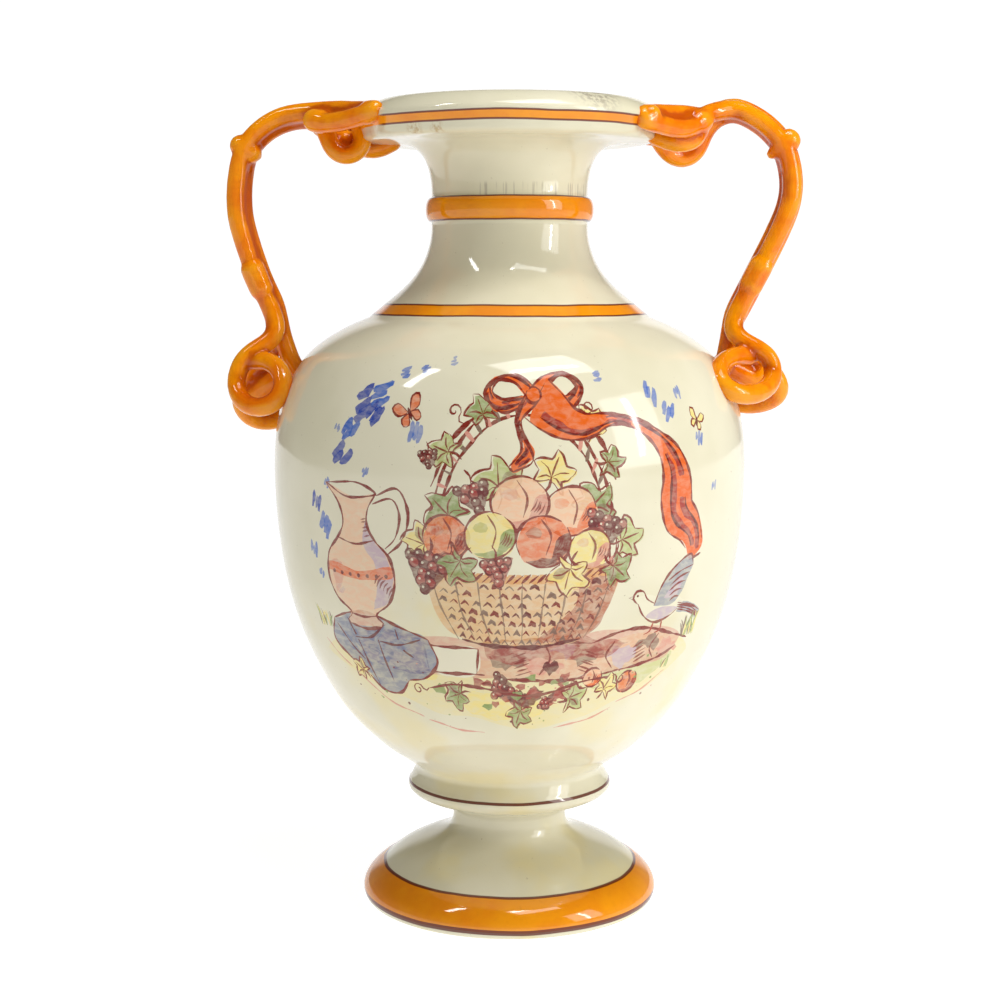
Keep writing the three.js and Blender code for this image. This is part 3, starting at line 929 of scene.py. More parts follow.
class Brush:
    """Paints shapes as outlines in (round, height), each with its colour, cover and wash."""

    def __init__(self, seed):
        self.rng = random.Random(seed)
        self.shapes = []

    def add(self, outline, colour, cover, wash):
        cover = 1 - (1 - cover) ** STRENGTH
        self.shapes.append({"outline": np.array(outline), "colour": colour, "cover": cover, "wash": wash})

    def stroke(self, places, width, colour=OUTLINE_RED, cover=0.88, ends=0.2, wash=0.35, shake=0.15):
        """One pull of a pointed brush: it swells and thins, and the hand shakes a little."""
        path = spline(places, PULL_STEP)
        across = to_left(unit(np.gradient(path, axis=0), TINY))
        run = lengths_along(path)
        share = run / max(run[-1], 1e-6)
        phase = self.rng.uniform(0, 2 * math.pi)
        swell = ends + (1 - ends) * np.sin(math.pi * np.clip(share, 0.001, 0.999)) ** 0.45
        swell *= 1 + 0.38 * np.sin(run * 0.47 + phase) + 0.20 * np.sin(run * 1.31 + 2 * phase)
        path = path + across * (shake * np.sin(run * 0.33 + phase))[:, None]
        half = (BROAD * width / 2 * swell)[:, None]
        self.add(np.vstack([path + across * half, (path - across * half)[::-1]]), colour, cover, wash)

    def patch(self, places, colour, cover=0.6, wash=1.0, rough=0.3):
        """A wash laid in with a full brush, its edge uneven."""
        path = spline(list(places) + [places[0]], WASH_STEP)[:-1]
        across = to_left(unit(np.roll(path, -1, axis=0) - np.roll(path, 1, axis=0), TINY))
        turn = np.linspace(0, 2 * math.pi, len(path), endpoint=False)
        edge = 0
        for k in range(4):
            edge = edge + math.pow(0.62, k) * np.sin((3 + 4 * k) * turn + self.rng.uniform(0, 2 * math.pi))
        self.add(path + across * (rough * edge)[:, None], colour, cover, wash)

    def disc(self, u, z, radius, colour, cover=0.6, wash=1.0, flat=1.0, rough=0.2):
        places = round_places(u, z, radius, flat, np.linspace(0, 2 * math.pi, 9)[:-1])
        self.patch(places, colour, cover, wash, rough)

    def ring(self, u, z, radius, width, colour=OUTLINE_RED, flat=1.0, cover=0.85):
        """A circle drawn by hand in two pulls that don't quite meet."""
        start = self.rng.uniform(0, 2 * math.pi)
        for half in (0, 1):
            a0 = start + half * math.pi + 0.12
            angles = np.linspace(a0, a0 + math.pi - self.rng.uniform(0.0, 0.35), 7)
            places = round_places(u, z, radius, flat, angles)
            self.stroke(places, width, colour, cover)

    def hatch(self, u, z, length, count, gap, angle, width=0.35, colour=OUTLINE_RED, cover=0.6, bow=0.0):
        """Short strokes side by side."""
        c, s = math.cos(angle), math.sin(angle)
        for i in range(count):
            off = (i - (count - 1) / 2) * gap + self.rng.uniform(-0.2, 0.2) * gap
            half = length / 2 * self.rng.uniform(0.7, 1.1)
            x, y = u - s * off, z + c * off
            ends = (x - c * half, y - s * half), (x + c * half, y + s * half)
            self.stroke([ends[0], (x - s * bow, y + c * bow), ends[1]], width, colour, cover)


def round_places(u, z, radius, flat, angles):
    """Places on a circle that may be flattened."""
    return [(u + radius * math.cos(a), z + flat * radius * math.sin(a)) for a in angles]


def placed(u, z, size, angle=0.0, flip=1):
    """A function from a motif's own unit square to the vase."""
    c, s = math.cos(angle), math.sin(angle)

    def at(*places):
        return [
            (u + size * (flip * x * c - y * s), z + size * (flip * x * s + y * c))
            for x, y in places
        ]

    return at


def vine_leaf(brush, u, z, size, angle, colour):
    """A five-lobed leaf: a wash that misses its outline a little, then the line and the veins."""
    lobes = []
    for i in range(20):
        a = math.radians(-90 + 18 * i + 9)
        point = abs(math.cos(2.5 * (a - math.pi / 2)))
        reach = 0.50 + 0.46 * point ** 1.3 + 0.06 * (-1) ** i + brush.rng.uniform(-0.05, 0.05)
        if math.sin(a) < -0.75:
            reach *= 0.55
        lobes.append((reach * math.cos(a), reach * math.sin(a)))
    at = placed(u, z, size, angle)
    off = placed(u + 0.07 * size, z - 0.05 * size, size * 0.98, angle)
    brush.patch(off(*lobes), colour, 0.62, 1.0, 0.12 * size / 5)
    if brush.rng.random() < 0.6:
        brush.patch(at((0.05, -0.2), (0.5, -0.1), (0.62, 0.3), (0.25, 0.3)), UMBER, 0.35, 1.0, 0.1)
    for k in range(0, 20, 5):
        section = [lobes[(k + j) % 20] for j in range(6)]
        brush.stroke(at(*section), 0.42)
    for degrees in (90, 18, 162, -40, 220):
        c, s = math.cos(math.radians(degrees)), math.sin(math.radians(degrees))
        brush.stroke(at((0, -0.2), (0.3 * c, 0.3 * s), (0.68 * c, 0.68 * s)), 0.34, cover=0.7)
    brush.stroke(at((0, -0.2), (0.05, -0.6), (-0.1, -0.95)), 0.5)


def grape_bunch(brush, u, z, size, rows, angle, colour=WINE):
    """Berries in rows that narrow to the tip; each is a dark disc with a light left in it."""
    at = placed(u, z, size, angle)
    pitch = 0.2
    reach = 0.5 * pitch * rows
    brush.patch(at((-reach, 0.04), (reach, 0.04), (0.55 * reach, -0.9 * reach), (0.0, -1.5 * reach),
                   (-0.55 * reach, -0.9 * reach)), colour, 0.55, 1.0, 0.25)
    for row in range(rows):
        count = max(1, rows - row - (row % 2 == 0 and row > 1))
        for k in range(count):
            x = (k - (count - 1) / 2) * pitch + brush.rng.uniform(-0.03, 0.03)
            y = -row * pitch * 0.82 + brush.rng.uniform(-0.03, 0.03)
            (bu, bz), = at((x, y))
            radius = size * 0.112
            tone = colour if brush.rng.random() < 0.6 else WINE_LIGHT
            brush.disc(bu, bz, radius, tone, brush.rng.uniform(0.5, 0.85), 0.7, rough=0.06)
            brush.ring(bu, bz, radius, 0.36, WINE)
            brush.disc(bu - 0.3 * radius, bz + 0.35 * radius, radius * 0.26, CREAM, 0.55, 0.0, rough=0.02)
    brush.stroke(at((0, 0.05), (0.03, 0.25), (-0.05, 0.42)), 0.6)


def round_fruit(brush, u, z, radius, colour, shade):
    """A peach, lemon or pomegranate: a pale wash, a darker side, a crease and an outline."""
    at = placed(u, z, radius)
    brush.disc(u + 0.4, z - 0.3, radius, colour, 0.55, 0.9, 0.93)
    dark = at((0.2, -0.85), (0.85, -0.4), (0.95, 0.3), (0.55, 0.15), (0.35, -0.35))
    brush.patch(dark, shade, 0.62, 0.8, 0.25)
    brush.patch(at((-0.6, -0.7), (0, -0.95), (0.6, -0.72), (0.1, -0.6)), shade, 0.55, 0.8, 0.25)
    brush.disc(u - 0.35 * radius, z + 0.3 * radius, 0.3 * radius, shade, 0.22, 1.0, 0.7)
    brush.ring(u, z, radius, 0.5, flat=0.93)
    brush.stroke(at((-0.1, 0.8), (0.25, 0.2), (0.1, -0.5)), 0.42, cover=0.65)
    brush.hatch(u + 0.62 * radius, z - 0.15 * radius, 0.55 * radius, 4, 0.9, 1.1, 0.32, bow=-0.4)


def tendril(brush, u, z, size, angle):
    """A curl of vine."""
    at = placed(u, z, size, angle)
    places = []
    for i in range(13):
        a = i * 0.62
        reach = 0.36 * (1 - i / 15)
        places.append((0.75 + reach * math.cos(math.pi + a), reach * math.sin(math.pi + a)))
    brush.stroke(at((0, 0), (0.2, 0.12), *places), 0.4, ends=0.35)


def sky_dab(brush, u, z, size, angle, colour=SKY, cover=0.6):
    """A loose touch of blue, two or three pulls of a flat brush."""
    at = placed(u, z, size, angle)
    for i in range(3):
        y = (i - 1) * 0.27 + brush.rng.uniform(-0.08, 0.08)
        x0, x1 = brush.rng.uniform(-0.65, -0.2), brush.rng.uniform(0.15, 0.6)
        shape = at((x0, y - 0.1), (0, y - 0.17), (x1, y - 0.08), (x1 + 0.05, y + 0.08), (0, y + 0.16),
                   (x0 - 0.03, y + 0.07))
        brush.patch(shape, colour, cover * brush.rng.uniform(0.8, 1.15), 0.55, 0.03 * size)


def grass_tuft(brush, u, z, size, count):
    """Blades that lean to both sides."""
    for _ in range(count):
        lean = brush.rng.uniform(-0.8, 0.8)
        tall = size * brush.rng.uniform(0.45, 1.0)
        x = u + brush.rng.uniform(-0.5, 0.5) * size
        tone = brush.rng.choice([LEAF, LEAF_PALE, STRAW, UMBER])
        brush.stroke([(x, z), (x + 0.25 * lean * tall, z + 0.6 * tall), (x + 0.62 * lean * tall, z + tall)],
                     0.42, tone, 0.7)


def ribbon(brush, places, width, tone=SCARLET):
    """A band of silk along a path: it narrows where it turns over, and dark folds run along it."""
    path = spline(places, SILK_STEP)
    across = to_left(unit(np.gradient(path, axis=0)))
    run = np.linspace(0, 1, len(path))
    half = width / 2 * (0.60 + 0.40 * np.cos(run * 8.2))
    left, right = path + across * half[:, None], path - across * half[:, None]
    brush.patch(np.vstack([left, right[::-1]])[::2], tone, 0.85, 0.4, 0.25)
    count = len(path)
    for start, end, side in ((0.05, 0.42, -0.55), (0.30, 0.68, 0.5), (0.55, 0.97, -0.4), (0.72, 0.98, 0.55)):
        a = int(start * count)
        b = max(a + 3, int(end * count))
        spine = path[a:b] + across[a:b] * (half[a:b] * side)[:, None]
        lip = spine - across[a:b] * (0.34 * half[a:b] * math.copysign(1, side))[:, None]
        brush.patch(np.vstack([spine, lip[::-1]]), WINE_LIGHT, 0.75, 0.5, 0.3)
        brush.stroke(spine, 0.6, WINE, 0.8)
    brush.stroke(left[::3], 0.6)
    brush.stroke(right[::3], 0.6)
    brush.stroke([left[-1], path[-1], right[-1]], 0.5)


def basket(brush, u, z, wide, tall):
    """A low wicker basket with a braided rim and a hoop handle."""
    at = placed(u, z, wide / 2)
    deep = 2 * tall / wide
    low = [(0.62, 0.0), (0.86, 0.3 * deep), (0.98, deep)]
    brush.patch(at((-0.98, deep), (-0.86, 0.3 * deep), (-0.62, 0.0), (0, -0.06), *low,
                   (0.5, 0.86 * deep), (0, 0.8 * deep), (-0.5, 0.86 * deep)), WICKER, 0.42, 0.9)
    brush.patch(at((0.1, -0.05), *low, (0.62, 0.86 * deep), (0.5, 0.4 * deep)), SCARLET_DEEP, 0.42, 1.0)
    rows = 7
    for row in range(rows):
        share = (row + 0.3) / rows
        reach = 0.62 + 0.34 * share ** 0.8
        height = deep * (0.86 * share)
        count = 15
        for k in range(count):
            if brush.rng.random() < 0.12:
                continue
            x0 = -reach + 2 * reach * (k + 0.1 + 0.45 * (row % 2)) / count
            x1 = min(reach, x0 + 1.5 * reach / count)
            sag = 0.07 * (1 - (x0 / reach) ** 2)
            shape = at((x0, height - sag), ((x0 + x1) / 2, height - sag + 0.035), (x1, height - sag - 0.01))
            width = brush.rng.uniform(0.45, 1.0)
            brush.stroke(shape, width, brush.rng.choice([OUTLINE_RED, WINE, UMBER]), 0.8)
    for k in range(9):
        x = -0.9 + 0.225 * k
        brush.stroke(at((0.72 * x, 0.0), (0.9 * x, 0.4 * deep), (x, 0.86 * deep)), 0.35, UMBER, 0.55)
    brush.stroke(at((-0.62, 0.0), (-0.3, -0.06), (0.0, -0.075), (0.3, -0.06), (0.62, 0.0)), 0.9, WINE)
    for k in range(26):
        x = -1.0 + 2.0 * (k + 0.5) / 26
        y = deep * (0.93 - 0.12 * (1 - x * x))
        plait = at((x - 0.045, y - 0.03), (x + 0.03, y - 0.045), (x + 0.05, y + 0.03), (x - 0.02, y + 0.05))
        brush.patch(plait, WICKER, 0.7, 0.7, 0.05)
        brush.stroke(at((x - 0.05, y - 0.035), (x, y + 0.01), (x + 0.045, y + 0.05)), 0.5, OUTLINE_RED)


def hoop(brush, u, z, wide, tall):
    """The basket's handle: two canes bound by a third."""
    for inset, width in ((0.0, 0.6), (0.075, 0.6)):
        places = [
            (u + (wide / 2) * (1 - inset) * math.cos(a), z + tall * (1 - inset) * math.sin(a))
            for a in np.linspace(0.02, math.pi - 0.02, 15)
        ]
        brush.stroke(places, width, OUTLINE_RED, ends=0.6)
    for k in range(30):
        a = math.pi * (k + 0.5) / 30
        c, s = math.cos(a), math.sin(a)
        outer = (u + wide / 2 * 1.01 * math.cos(a + 0.04), z + tall * 1.01 * math.sin(a + 0.04))
        inner = (u + wide / 2 * 0.915 * c, z + tall * 0.915 * s)
        brush.stroke([outer, inner], 0.75, UMBER if k % 2 else ROSE, 0.75, ends=0.6)


def jug(brush, u, z, tall):
    """A plain pottery ewer, outlined in red over a peach wash."""
    at = placed(u, z, tall)
    right = [(0.15, 0.0), (0.17, 0.03), (0.12, 0.08), (0.24, 0.18), (0.31, 0.33), (0.28, 0.49), (0.17, 0.61),
             (0.11, 0.72), (0.12, 0.83), (0.19, 0.93)]
    left = [(-x, y) for x, y in right]
    left[-1] = (-0.27, 0.98)
    left[-2] = (-0.14, 0.85)
    brush.patch(at(*right, (0.0, 0.9), *left[::-1]), PEACH, 0.42, 1.0, 0.25)
    brush.patch(at((0.1, 0.12), (0.24, 0.2), (0.3, 0.35), (0.26, 0.5), (0.15, 0.61), (0.1, 0.75), (0.06, 0.6),
                   (0.17, 0.42), (0.14, 0.25)), LILAC, 0.6, 1.0, 0.3)
    brush.patch(at((-0.24, 0.22), (-0.16, 0.3), (-0.17, 0.45), (-0.26, 0.44)), ROSE, 0.3, 1.0, 0.3)
    brush.patch(at((-0.3, 0.37), (0, 0.33), (0.3, 0.37), (0.29, 0.43), (0, 0.39), (-0.29, 0.43)),
                SCARLET, 0.62, 0.8, 0.15)
    for x in np.linspace(-0.24, 0.24, 7):
        brush.disc(*at((x, 0.375 - 0.2 * (0.09 - x * x)))[0], 0.75, WINE, 0.7, 0.5, rough=0.05)
    brush.stroke(at(*right), 0.62)
    brush.stroke(at(*left), 0.55)
    brush.stroke(at((-0.15, 0.0), (0, -0.02), (0.15, 0.0)), 0.7)
    brush.stroke(at((-0.12, 0.08), (0, 0.06), (0.12, 0.08)), 0.45)
    brush.stroke(at((-0.27, 0.98), (-0.05, 0.9), (0.19, 0.93), (0.02, 1.0), (-0.27, 0.98)), 0.5)
    brush.stroke(at((-0.17, 0.61), (0, 0.58), (0.17, 0.61)), 0.45)
    brush.stroke(at((0.19, 0.92), (0.36, 0.97), (0.44, 0.82), (0.38, 0.62), (0.27, 0.52)), 0.6)
    brush.stroke(at((0.16, 0.86), (0.32, 0.9), (0.375, 0.8), (0.33, 0.64), (0.25, 0.56)), 0.5)
    brush.hatch(*at((0.22, 0.3))[0], 0.1 * tall, 6, 1.3, 0.9, 0.4, OUTLINE_RED, 0.55, bow=0.5)
    brush.hatch(*at((0.09, 0.7))[0], 0.05 * tall, 5, 1.4, 0.2, 0.35, OUTLINE_RED, 0.5)


def dove(brush, u, z, size, flip, angle=0.0):
    """A small pale dove with one wing lifted and its tail low."""
    at = placed(u, z, size, angle, flip)
    tail = [(-0.38, 0.02), (-0.66, -0.06), (-0.96, -0.22), (-0.92, -0.32), (-0.62, -0.2), (-0.34, -0.12)]
    wing = [(0.12, 0.02), (0.02, 0.28), (-0.2, 0.5), (-0.56, 0.66), (-0.62, 0.5), (-0.5, 0.3), (-0.38, 0.1),
            (-0.2, -0.02)]
    back = [(-0.5, 0.0), (-0.25, -0.2), (0.1, -0.22), (0.38, -0.02), (0.46, 0.16), (0.3, 0.2), (0.0, 0.12),
            (-0.3, 0.1)]
    brush.patch(at(*tail), SLATE, 0.42, 1.0, 0.1)
    brush.patch(at(*back), CREAM, 0.5, 0.3, 0.1)
    brush.patch(at((-0.4, -0.08), (-0.05, -0.2), (0.25, -0.12), (0.0, -0.02)), LILAC, 0.6, 1.0, 0.1)
    brush.patch(at(*wing), SLATE, 0.42, 1.0, 0.15)
    brush.patch(at((-0.05, 0.1), (-0.25, 0.3), (-0.42, 0.36), (-0.3, 0.1)), LILAC, 0.6, 1.0, 0.1)
    brush.stroke(at((-0.36, -0.1), (-0.25, -0.17), (0.08, -0.22), (0.32, -0.08), (0.42, 0.08)), 0.5)
    brush.stroke(at((0.42, 0.08), (0.5, 0.17), (0.45, 0.26), (0.34, 0.25), (0.26, 0.14), (0.12, 0.06)), 0.48)
    brush.stroke(at((0.49, 0.2), (0.57, 0.19), (0.5, 0.155)), 0.4, WINE)
    brush.disc(*at((0.43, 0.2))[0], 0.45, WINE, 0.9, 0.0, rough=0.02)
    brush.stroke(at(*wing[:5]), 0.5)
    for k in range(5):
        share = k / 4
        tip = (-0.62 + 0.26 * share, 0.5 - 0.42 * share)
        root = (-0.12 - 0.06 * share, 0.34 - 0.3 * share)
        middle = (0.5 * (tip[0] + root[0]), 0.5 * (tip[1] + root[1]) + 0.03)
        brush.stroke(at(root, middle, tip), 0.4, cover=0.75)
    for k in range(4):
        drop = 0.1 * k / 3
        brush.stroke(at((-0.36, -0.01 - drop), (-0.64, -0.08 - drop), (-0.94, -0.22 - drop)), 0.42)


def butterfly(brush, u, z, size, angle, colour):
    """Two wings each side of a dark body."""
    for flip in (-1, 1):
        at = placed(u, z, size, angle, flip)
        wing = [(0.04, 0.05), (0.35, 0.55), (0.62, 0.5), (0.5, 0.08), (0.1, 0.0)]
        low = [(0.04, 0.0), (0.4, -0.08), (0.42, -0.4), (0.18, -0.45)]
        for shape in (wing, low):
            brush.patch(at(*shape), colour, 0.62, 1.0, 0.08)
            brush.stroke(at(*shape, shape[0]), 0.38)
    brush.stroke(placed(u, z, size, angle)((0, 0.2), (0, -0.32)), 0.7, WINE)


def cloth(brush, places, folds):
    """A blue-grey cloth with its folds."""
    brush.patch(places, SLATE, 0.55, 1.0, 0.4)
    for fold in folds:
        brush.stroke(fold, 1.9, SLATE, 0.55, wash=1.0)
        brush.stroke(fold, 0.5, WINE, 0.7)
    for i in range(0, len(places), 3):
        brush.stroke([places[(i + j) % len(places)] for j in range(4)], 0.6)


def sky(brush):
    """Loose touches of blue."""
    for u, z, size, angle, colour, cover in (
        (-55, 193, 11.0, 0.6, SKY_DEEP, 0.75), (-48, 196, 8.0, 0.3, SKY, 0.75),
        (-50, 189, 7.0, 0.9, SKY_DEEP, 0.8),
        (-60, 184, 8.0, 0.9, SKY, 0.75), (-63, 175, 8.5, 0.7, SKY_DEEP, 0.7), (-40, 203, 4.4, 0.3, SKY, 0.6),
        (-66, 184, 3.2, 1.2, SKY, 0.5), (-76, 158, 5.5, 1.3, SKY_DEEP, 0.6), (-72, 150, 7.0, 1.2, SKY, 0.6),
        (-80, 141, 5.0, 1.4, SKY, 0.55), (-77, 133, 4.0, 1.2, SKY, 0.5), (-33, 204, 3.6, 0.4, SKY, 0.55),
        (-67, 128, 4.0, 0.6, SKY, 0.35), (-22, 207, 3.2, 0.2, SKY, 0.4), (-52, 170, 3.4, 1.1, SKY, 0.5),
        (-33, 184, 6.0, 1.4, SKY, 0.5), (-70, 165, 4.0, 1.2, SKY, 0.5),
        (33, 202, 4.0, 0.2, SKY, 0.45), (53, 196, 6.5, 1.3, SKY, 0.55), (60, 190, 6.4, 1.1, SKY, 0.6),
        (67, 196, 4.0, 1.5, SKY, 0.5), (74, 180, 4.4, 1.3, SKY, 0.5), (82, 163, 3.4, 1.4, SKY, 0.4),
    ):
        sky_dab(brush, u, z, size, angle, colour, cover)


def ground(brush):
    """Washes of straw and leaf colour low on the belly."""
    brush.patch([(-84, 104), (-60, 92), (-20, 84), (20, 82), (56, 90), (82, 104), (60, 112), (0, 108),
                 (-60, 112)],
                STRAW, 0.22, 1.0, 1.2)
    brush.patch([(-78, 106), (-50, 98), (-30, 100), (-48, 110)], STRAW, 0.4, 1.0, 0.8)
    brush.patch([(30, 96), (56, 94), (70, 104), (48, 106)], LEAF_PALE, 0.3, 1.0, 0.8)
    brush.patch([(-28, 90), (-6, 84), (14, 86), (0, 95)], STRAW, 0.45, 1.0, 0.8)


def ledge(brush):
    """A ledge of rock with a bare block."""
    brush.patch([(-62, 112), (-40, 115), (10, 113), (46, 116), (74, 111), (70, 104), (40, 101), (0, 99),
                 (-36, 101), (-60, 105)], ROSE, 0.38, 1.0, 0.8)
    for u, z, wide, tall, tone in (
        (-52, 108, 13, 6, UMBER), (-2, 107, 14, 8, UMBER), (12, 104, 16, 6, ROSE), (28, 108, 15, 7, UMBER),
        (44, 106, 13, 8, LILAC), (56, 110, 12, 5, UMBER), (66, 107, 12, 6, ROSE), (20, 110, 10, 5, LILAC),
    ):
        brush.patch([(u - wide / 2, z), (u - 0.2 * wide, z + tall / 2), (u + 0.3 * wide, z + 0.4 * tall),
                     (u + wide / 2, z - 0.1 * tall), (u + 0.1 * wide, z - tall / 2)], tone, 0.52, 0.8, 0.9)
    brush.patch([(-10, 113), (10, 114.5), (34, 114), (46, 111), (30, 107), (6, 106), (-8, 108)],
                WINE_LIGHT, 0.42, 1.0, 1.0)
    brush.patch([(-33, 111), (-12, 110), (-13, 101.5), (-32, 102)], CREAM, 0.8, 0.2, 0.2)
    brush.stroke([(-33, 111.4), (-22, 111), (-12, 110.6)], 0.6)
    brush.stroke([(-12, 110.6), (-12.6, 106), (-13, 101.4)], 0.55)
    brush.stroke([(-33, 111.4), (-32.4, 106), (-32, 102)], 0.5)
    brush.stroke([(-34, 101.6), (-20, 101.2), (-10, 101)], 0.7)
    for places, width in (
        ([(-66, 111), (-50, 115), (-34, 113)], 0.7), ([(-10, 113), (12, 114), (30, 112)], 0.8),
        ([(30, 112), (48, 116), (64, 113), (78, 109)], 0.7), ([(-62, 105), (-46, 101), (-30, 101)], 0.8),
        ([(-6, 100), (20, 98.5), (44, 101)], 0.9), ([(44, 101), (60, 103), (72, 107)], 0.7),
        ([(-44, 113), (-42, 108), (-45, 103)], 0.5), ([(12, 113), (15, 107), (11, 101)], 0.5),
        ([(40, 112), (37, 107), (41, 102)], 0.5), ([(60, 113), (57, 108), (60, 104)], 0.5),
    ):
        brush.stroke(places, width)
    for u, z, angle, count in ((-52, 107, 0.5, 5), (4, 105, 0.3, 6), (30, 105, -0.3, 6), (52, 107, 0.4, 5)):
        brush.hatch(u, z, 6.0, count, 1.4, angle, 0.4, OUTLINE_RED, 0.6)


def cloth_and_jug(brush):
    """Cloth over the ledge's left, and the ewer on it."""
    cloth(brush, [(-74, 117), (-58, 121), (-42, 117), (-31, 113), (-28, 105), (-34, 99), (-42, 97), (-48, 92),
                  (-57, 92), (-63, 98), (-71, 103), (-77, 109)],
          [[(-66, 118), (-62, 108), (-58, 92)], [(-54, 118), (-52, 108), (-50, 96)],
           [(-44, 116), (-42, 109), (-38, 106)], [(-73, 115), (-68, 109), (-62, 103)],
           [(-48, 117), (-56, 112), (-64, 111)], [(-34, 113), (-44, 110), (-52, 111)]])
    jug(brush, -57, 116, 50)


def heaped_basket(brush):
    """The hoop, the leaves at the back, then the basket and its fruit."""
    hoop(brush, 4, 138, 66, 56)
    for u, z, size, angle, colour in (
        (-22, 158, 9.0, 0.8, LEAF), (-4, 168, 9.5, 0.1, LEAF_PALE), (28, 160, 9.0, -0.8, LEAF),
        (-31, 147, 8.0, 1.3, STRAW), (40, 148, 8.0, -1.3, LEAF_PALE), (14, 171, 8.0, -0.4, STRAW),
    ):
        vine_leaf(brush, u, z, size, angle, colour)
    grape_bunch(brush, -13, 166, 15, 4, 0.3)
    round_fruit(brush, 20, 158, 9.0, PEACH, SCARLET)
    round_fruit(brush, 3, 161, 9.6, PEACH, ROSE)
    round_fruit(brush, -22, 149, 8.2, SCARLET, SCARLET_DEEP)
    grape_bunch(brush, 33, 155, 15, 5, -0.3)
    round_fruit(brush, -7, 150, 8.6, STRAW, LEAF)
    round_fruit(brush, 11, 148, 9.4, SCARLET, WINE)
    round_fruit(brush, 27, 145, 7.4, STRAW, ROSE)
    basket(brush, 4, 114, 70, 26)
    grape_bunch(brush, -28, 142, 17, 5, -0.2)
    grape_bunch(brush, -5, 141, 14, 4, 0.15, WINE_LIGHT)
    vine_leaf(brush, -18, 140, 8.0, 2.6, LEAF)
    vine_leaf(brush, 20, 137, 8.4, 2.9, STRAW)
    vine_leaf(brush, 37, 138, 7.0, -2.3, LEAF)


def vine_and_silk(brush):
    """A vine and a silk band round the hoop."""
    brush.stroke([(-27, 166), (-18, 184), (-4, 193), (8, 196)], 0.85)
    brush.stroke([(36, 168), (30, 182), (20, 191), (8, 196)], 0.85)
    for u, z, size, angle, colour in (
        (-22, 178, 6.6, 1.2, LEAF_PALE), (-10, 191, 6.2, 0.4, LEAF), (27, 187, 6.6, -0.9, STRAW),
        (34, 174, 6.0, -1.5, LEAF),
    ):
        vine_leaf(brush, u, z, size, angle, colour)
    grape_bunch(brush, -28, 177, 9, 4, 0.1)
    tendril(brush, -16, 187, 7.0, 2.3)
    tendril(brush, 22, 190, 7.0, 0.4)
    ribbon(brush, [(8, 196), (0, 202), (-8, 199), (-5, 193), (7, 195)], 4.6)
    ribbon(brush, [(8, 196), (17, 203), (25, 199), (19, 193), (9, 195)], 4.6)
    ribbon(brush, [(9, 195), (22, 186), (38, 188), (52, 182), (61, 170), (62, 156), (70, 148), (73, 139)],
           15.0)
    ribbon(brush, [(7, 195), (2, 186), (6, 178), (0, 172)], 5.0)
    brush.disc(8, 196, 2.6, SCARLET, 0.85, 0.5)
    brush.ring(8, 196, 2.6, 0.6)


def dove_and_butterflies(brush):
    """A dove on the rock, and two butterflies."""
    dove(brush, 58, 123, 25, -1, 0.05)
    brush.stroke([(56, 117.5), (55, 114), (52.5, 113)], 0.6, SCARLET_DEEP)
    brush.stroke([(60, 118), (60, 114), (57.5, 113.2)], 0.6, SCARLET_DEEP)
    butterfly(brush, -36, 190, 8.5, 0.5, SCARLET)
    butterfly(brush, 74, 186, 6.5, -0.4, STRAW)


def fallen(brush):
    """What has fallen in front of the ledge."""
    rng = brush.rng
    for _ in range(34):
        u, z = rng.gauss(6, 14), rng.gauss(95, 4.0)
        size = rng.uniform(1.2, 4.2)
        tone = rng.choice([WINE, WINE, WINE_LIGHT, WINE_LIGHT, LEAF])
        brush.disc(u, z, size, tone, rng.uniform(0.55, 0.85), 0.6, rng.uniform(0.4, 0.8), 0.22 * size)
    vine_leaf(brush, -22, 93, 6.4, 1.9, LEAF)
    vine_leaf(brush, 26, 92, 6.8, -1.2, LEAF_PALE)
    vine_leaf(brush, 40, 95, 5.6, -0.4, STRAW)
    vine_leaf(brush, 4, 86, 6.4, 2.8, LEAF)
    vine_leaf(brush, -66, 99, 5.0, 0.9, STRAW)
    grape_bunch(brush, -6, 97, 13, 4, 1.35)
    grape_bunch(brush, 15, 90, 9, 3, -1.2, WINE_LIGHT)
    round_fruit(brush, 50, 96, 4.6, SCARLET, SCARLET_DEEP)
    round_fruit(brush, 33, 99, 4.0, PEACH, SCARLET)
    brush.stroke([(-34, 95), (-20, 97), (-6, 95), (10, 93), (26, 97), (40, 99)], 0.75)
    tendril(brush, -34, 95, 6.5, 3.3)
    tendril(brush, 42, 99, 6.0, -0.3)
    grass_tuft(brush, 78, 110, 9.0, 26)
    grass_tuft(brush, -80, 113, 8.0, 18)
    grass_tuft(brush, 68, 99, 5.0, 10)
    for places in (
        [(-70, 98), (-56, 88), (-40, 83)], [(-38, 82), (-24, 79), (-12, 78)], [(48, 88), (60, 92), (70, 98)],
        [(20, 80), (34, 82), (46, 86)], [(-84, 108), (-78, 103), (-72, 99)],
    ):
        brush.stroke(places, 0.4, ROSE, 0.6)
    for _ in range(46):
        u, z = rng.uniform(-72, 72), rng.uniform(80, 100)
        brush.disc(u, z + abs(u) * 0.12, rng.uniform(0.25, 0.7), rng.choice([WINE, OUTLINE_RED, ROSE, LEAF]),
                   rng.uniform(0.4, 0.8), 0.3, rng.uniform(0.5, 1.0), 0.05)


def painting():
    """The decoration on the front: a basket of fruit, a ewer and a dove on a ledge, under a light sky."""
    brush = Brush(SEED)
    for part in (
        sky, ground, ledge, cloth_and_jug, heaped_basket, vine_and_silk, dove_and_butterflies, fallen,
    ):
        part(brush)
    return brush.shapes


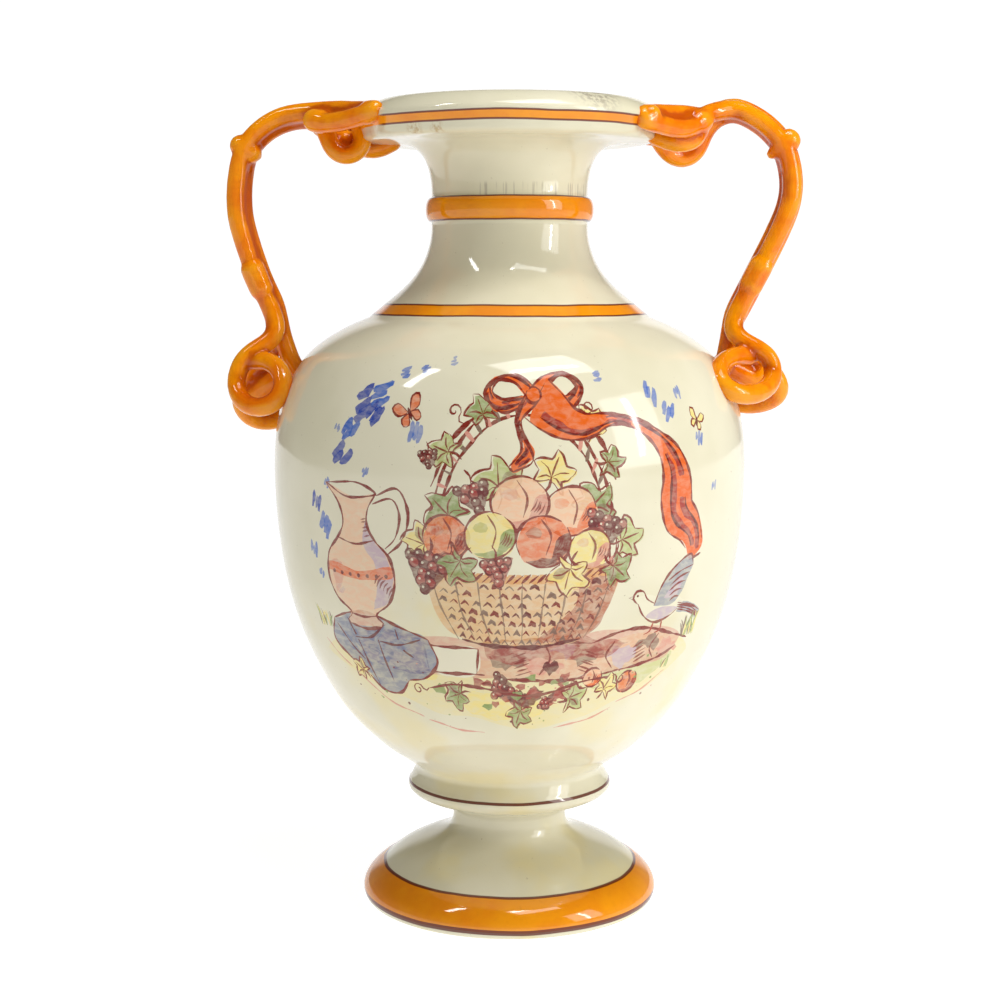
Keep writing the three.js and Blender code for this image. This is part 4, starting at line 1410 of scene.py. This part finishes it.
def area_light(name, place, aim, size, power):
    """A rectangular lamp that faces a place."""
    light = bpy.data.lights.new(name, "AREA")
    light.shape = "RECTANGLE"
    light.size, light.size_y = size
    light.energy = power
    made = bpy.data.objects.new(name, light)
    made.location = place
    made.rotation_euler = (Vector(aim) - Vector(place)).to_track_quat("-Z", "Y").to_euler()
    bpy.context.collection.objects.link(made)


def make_world():
    """A white sweep behind the vase, and a softer, dimmer room to the sides and above."""
    world = bpy.data.worlds.new("studio")
    bpy.context.scene.world = world
    world.use_nodes = True
    tree = world.node_tree
    background = tree.nodes["Background"]
    where = tree.nodes.new("ShaderNodeTexCoord")
    apart = tree.nodes.new("ShaderNodeSeparateXYZ")
    tree.links.new(where.outputs["Generated"], apart.inputs[0])
    brighter = tree.nodes.new("ShaderNodeMath")
    brighter.operation = "MAXIMUM"
    tree.links.new(map_range(tree, apart.outputs["Y"], BACKDROP), brighter.inputs[0])
    tree.links.new(map_range(tree, apart.outputs["Z"], ROOM), brighter.inputs[1])
    tree.links.new(brighter.outputs[0], background.inputs["Strength"])
    background.inputs["Color"].default_value = (1.0, 1.0, 1.0, 1.0)


def make_floor():
    """A white floor that glows more with distance, so that it runs into the sweep."""
    bpy.ops.mesh.primitive_plane_add(size=FLOOR_SIZE, location=(0.0, 0.0, -FLOOR_DROP))
    floor = bpy.context.object
    floor.name = "floor"
    nodes = Nodes("white_sweep")
    away = nodes.add("ShaderNodeVectorMath", nodes.add("ShaderNodeTexCoord", output=3), operation="LENGTH",
                     output="Value")
    glow = map_range(nodes.tree, away, FLOOR_GLOW, smooth=False)
    for name, value in (
        ("Base Color", (FLOOR_GREY, FLOOR_GREY, FLOOR_GREY)), ("Roughness", FLOOR_ROUGH),
        ("Emission Color", (1.0, 1.0, 1.0)), ("Emission Strength", glow),
    ):
        nodes.link(value, nodes.shader.inputs[name])
    floor.data.materials.append(nodes.material)


def make_camera():
    """The camera fitted to the photograph."""
    camera = bpy.data.cameras.new("camera")
    camera.lens = CAMERA["lens"]
    camera.sensor_width = CAMERA["sensor"]
    camera.sensor_fit = "HORIZONTAL"
    made = bpy.data.objects.new("camera", camera)
    made.location = (CAMERA["x"] * MM, CAMERA["y"] * MM, CAMERA["height"] * MM)
    made.rotation_euler = (math.radians(90 - CAMERA["down"]), 0.0, 0.0)
    bpy.context.collection.objects.link(made)
    bpy.context.scene.camera = made


def clay_vase():
    """The body and both handles as one object, with their materials."""
    body = body_object(painting())
    handles = [handle_object(LEFT), handle_object(RIGHT)]
    painted, clay = body_material(), handle_material()
    for handle in handles:
        handle.data.materials.clear()
        handle.data.materials.append(painted)
        handle.data.materials.append(clay)
        for face in handle.data.polygons:
            face.material_index = 1
    body.data.materials.append(painted)
    body.data.materials.append(clay)
    vase = join_body_and_handles(body, handles)
    vase.name = "painted_vase"
    mark_pools_and_shade(vase, *finish_normals(vase))
    return vase


def main():
    """Load the frame, dress it and light it."""
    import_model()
    make_camera()
    vase = clay_vase()
    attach(vase, "root")
    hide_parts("vase")
    make_floor()
    make_world()
    for lamp in LAMPS:
        area_light(*lamp)
    bpy.context.scene.view_settings.view_transform = "Standard"


main()
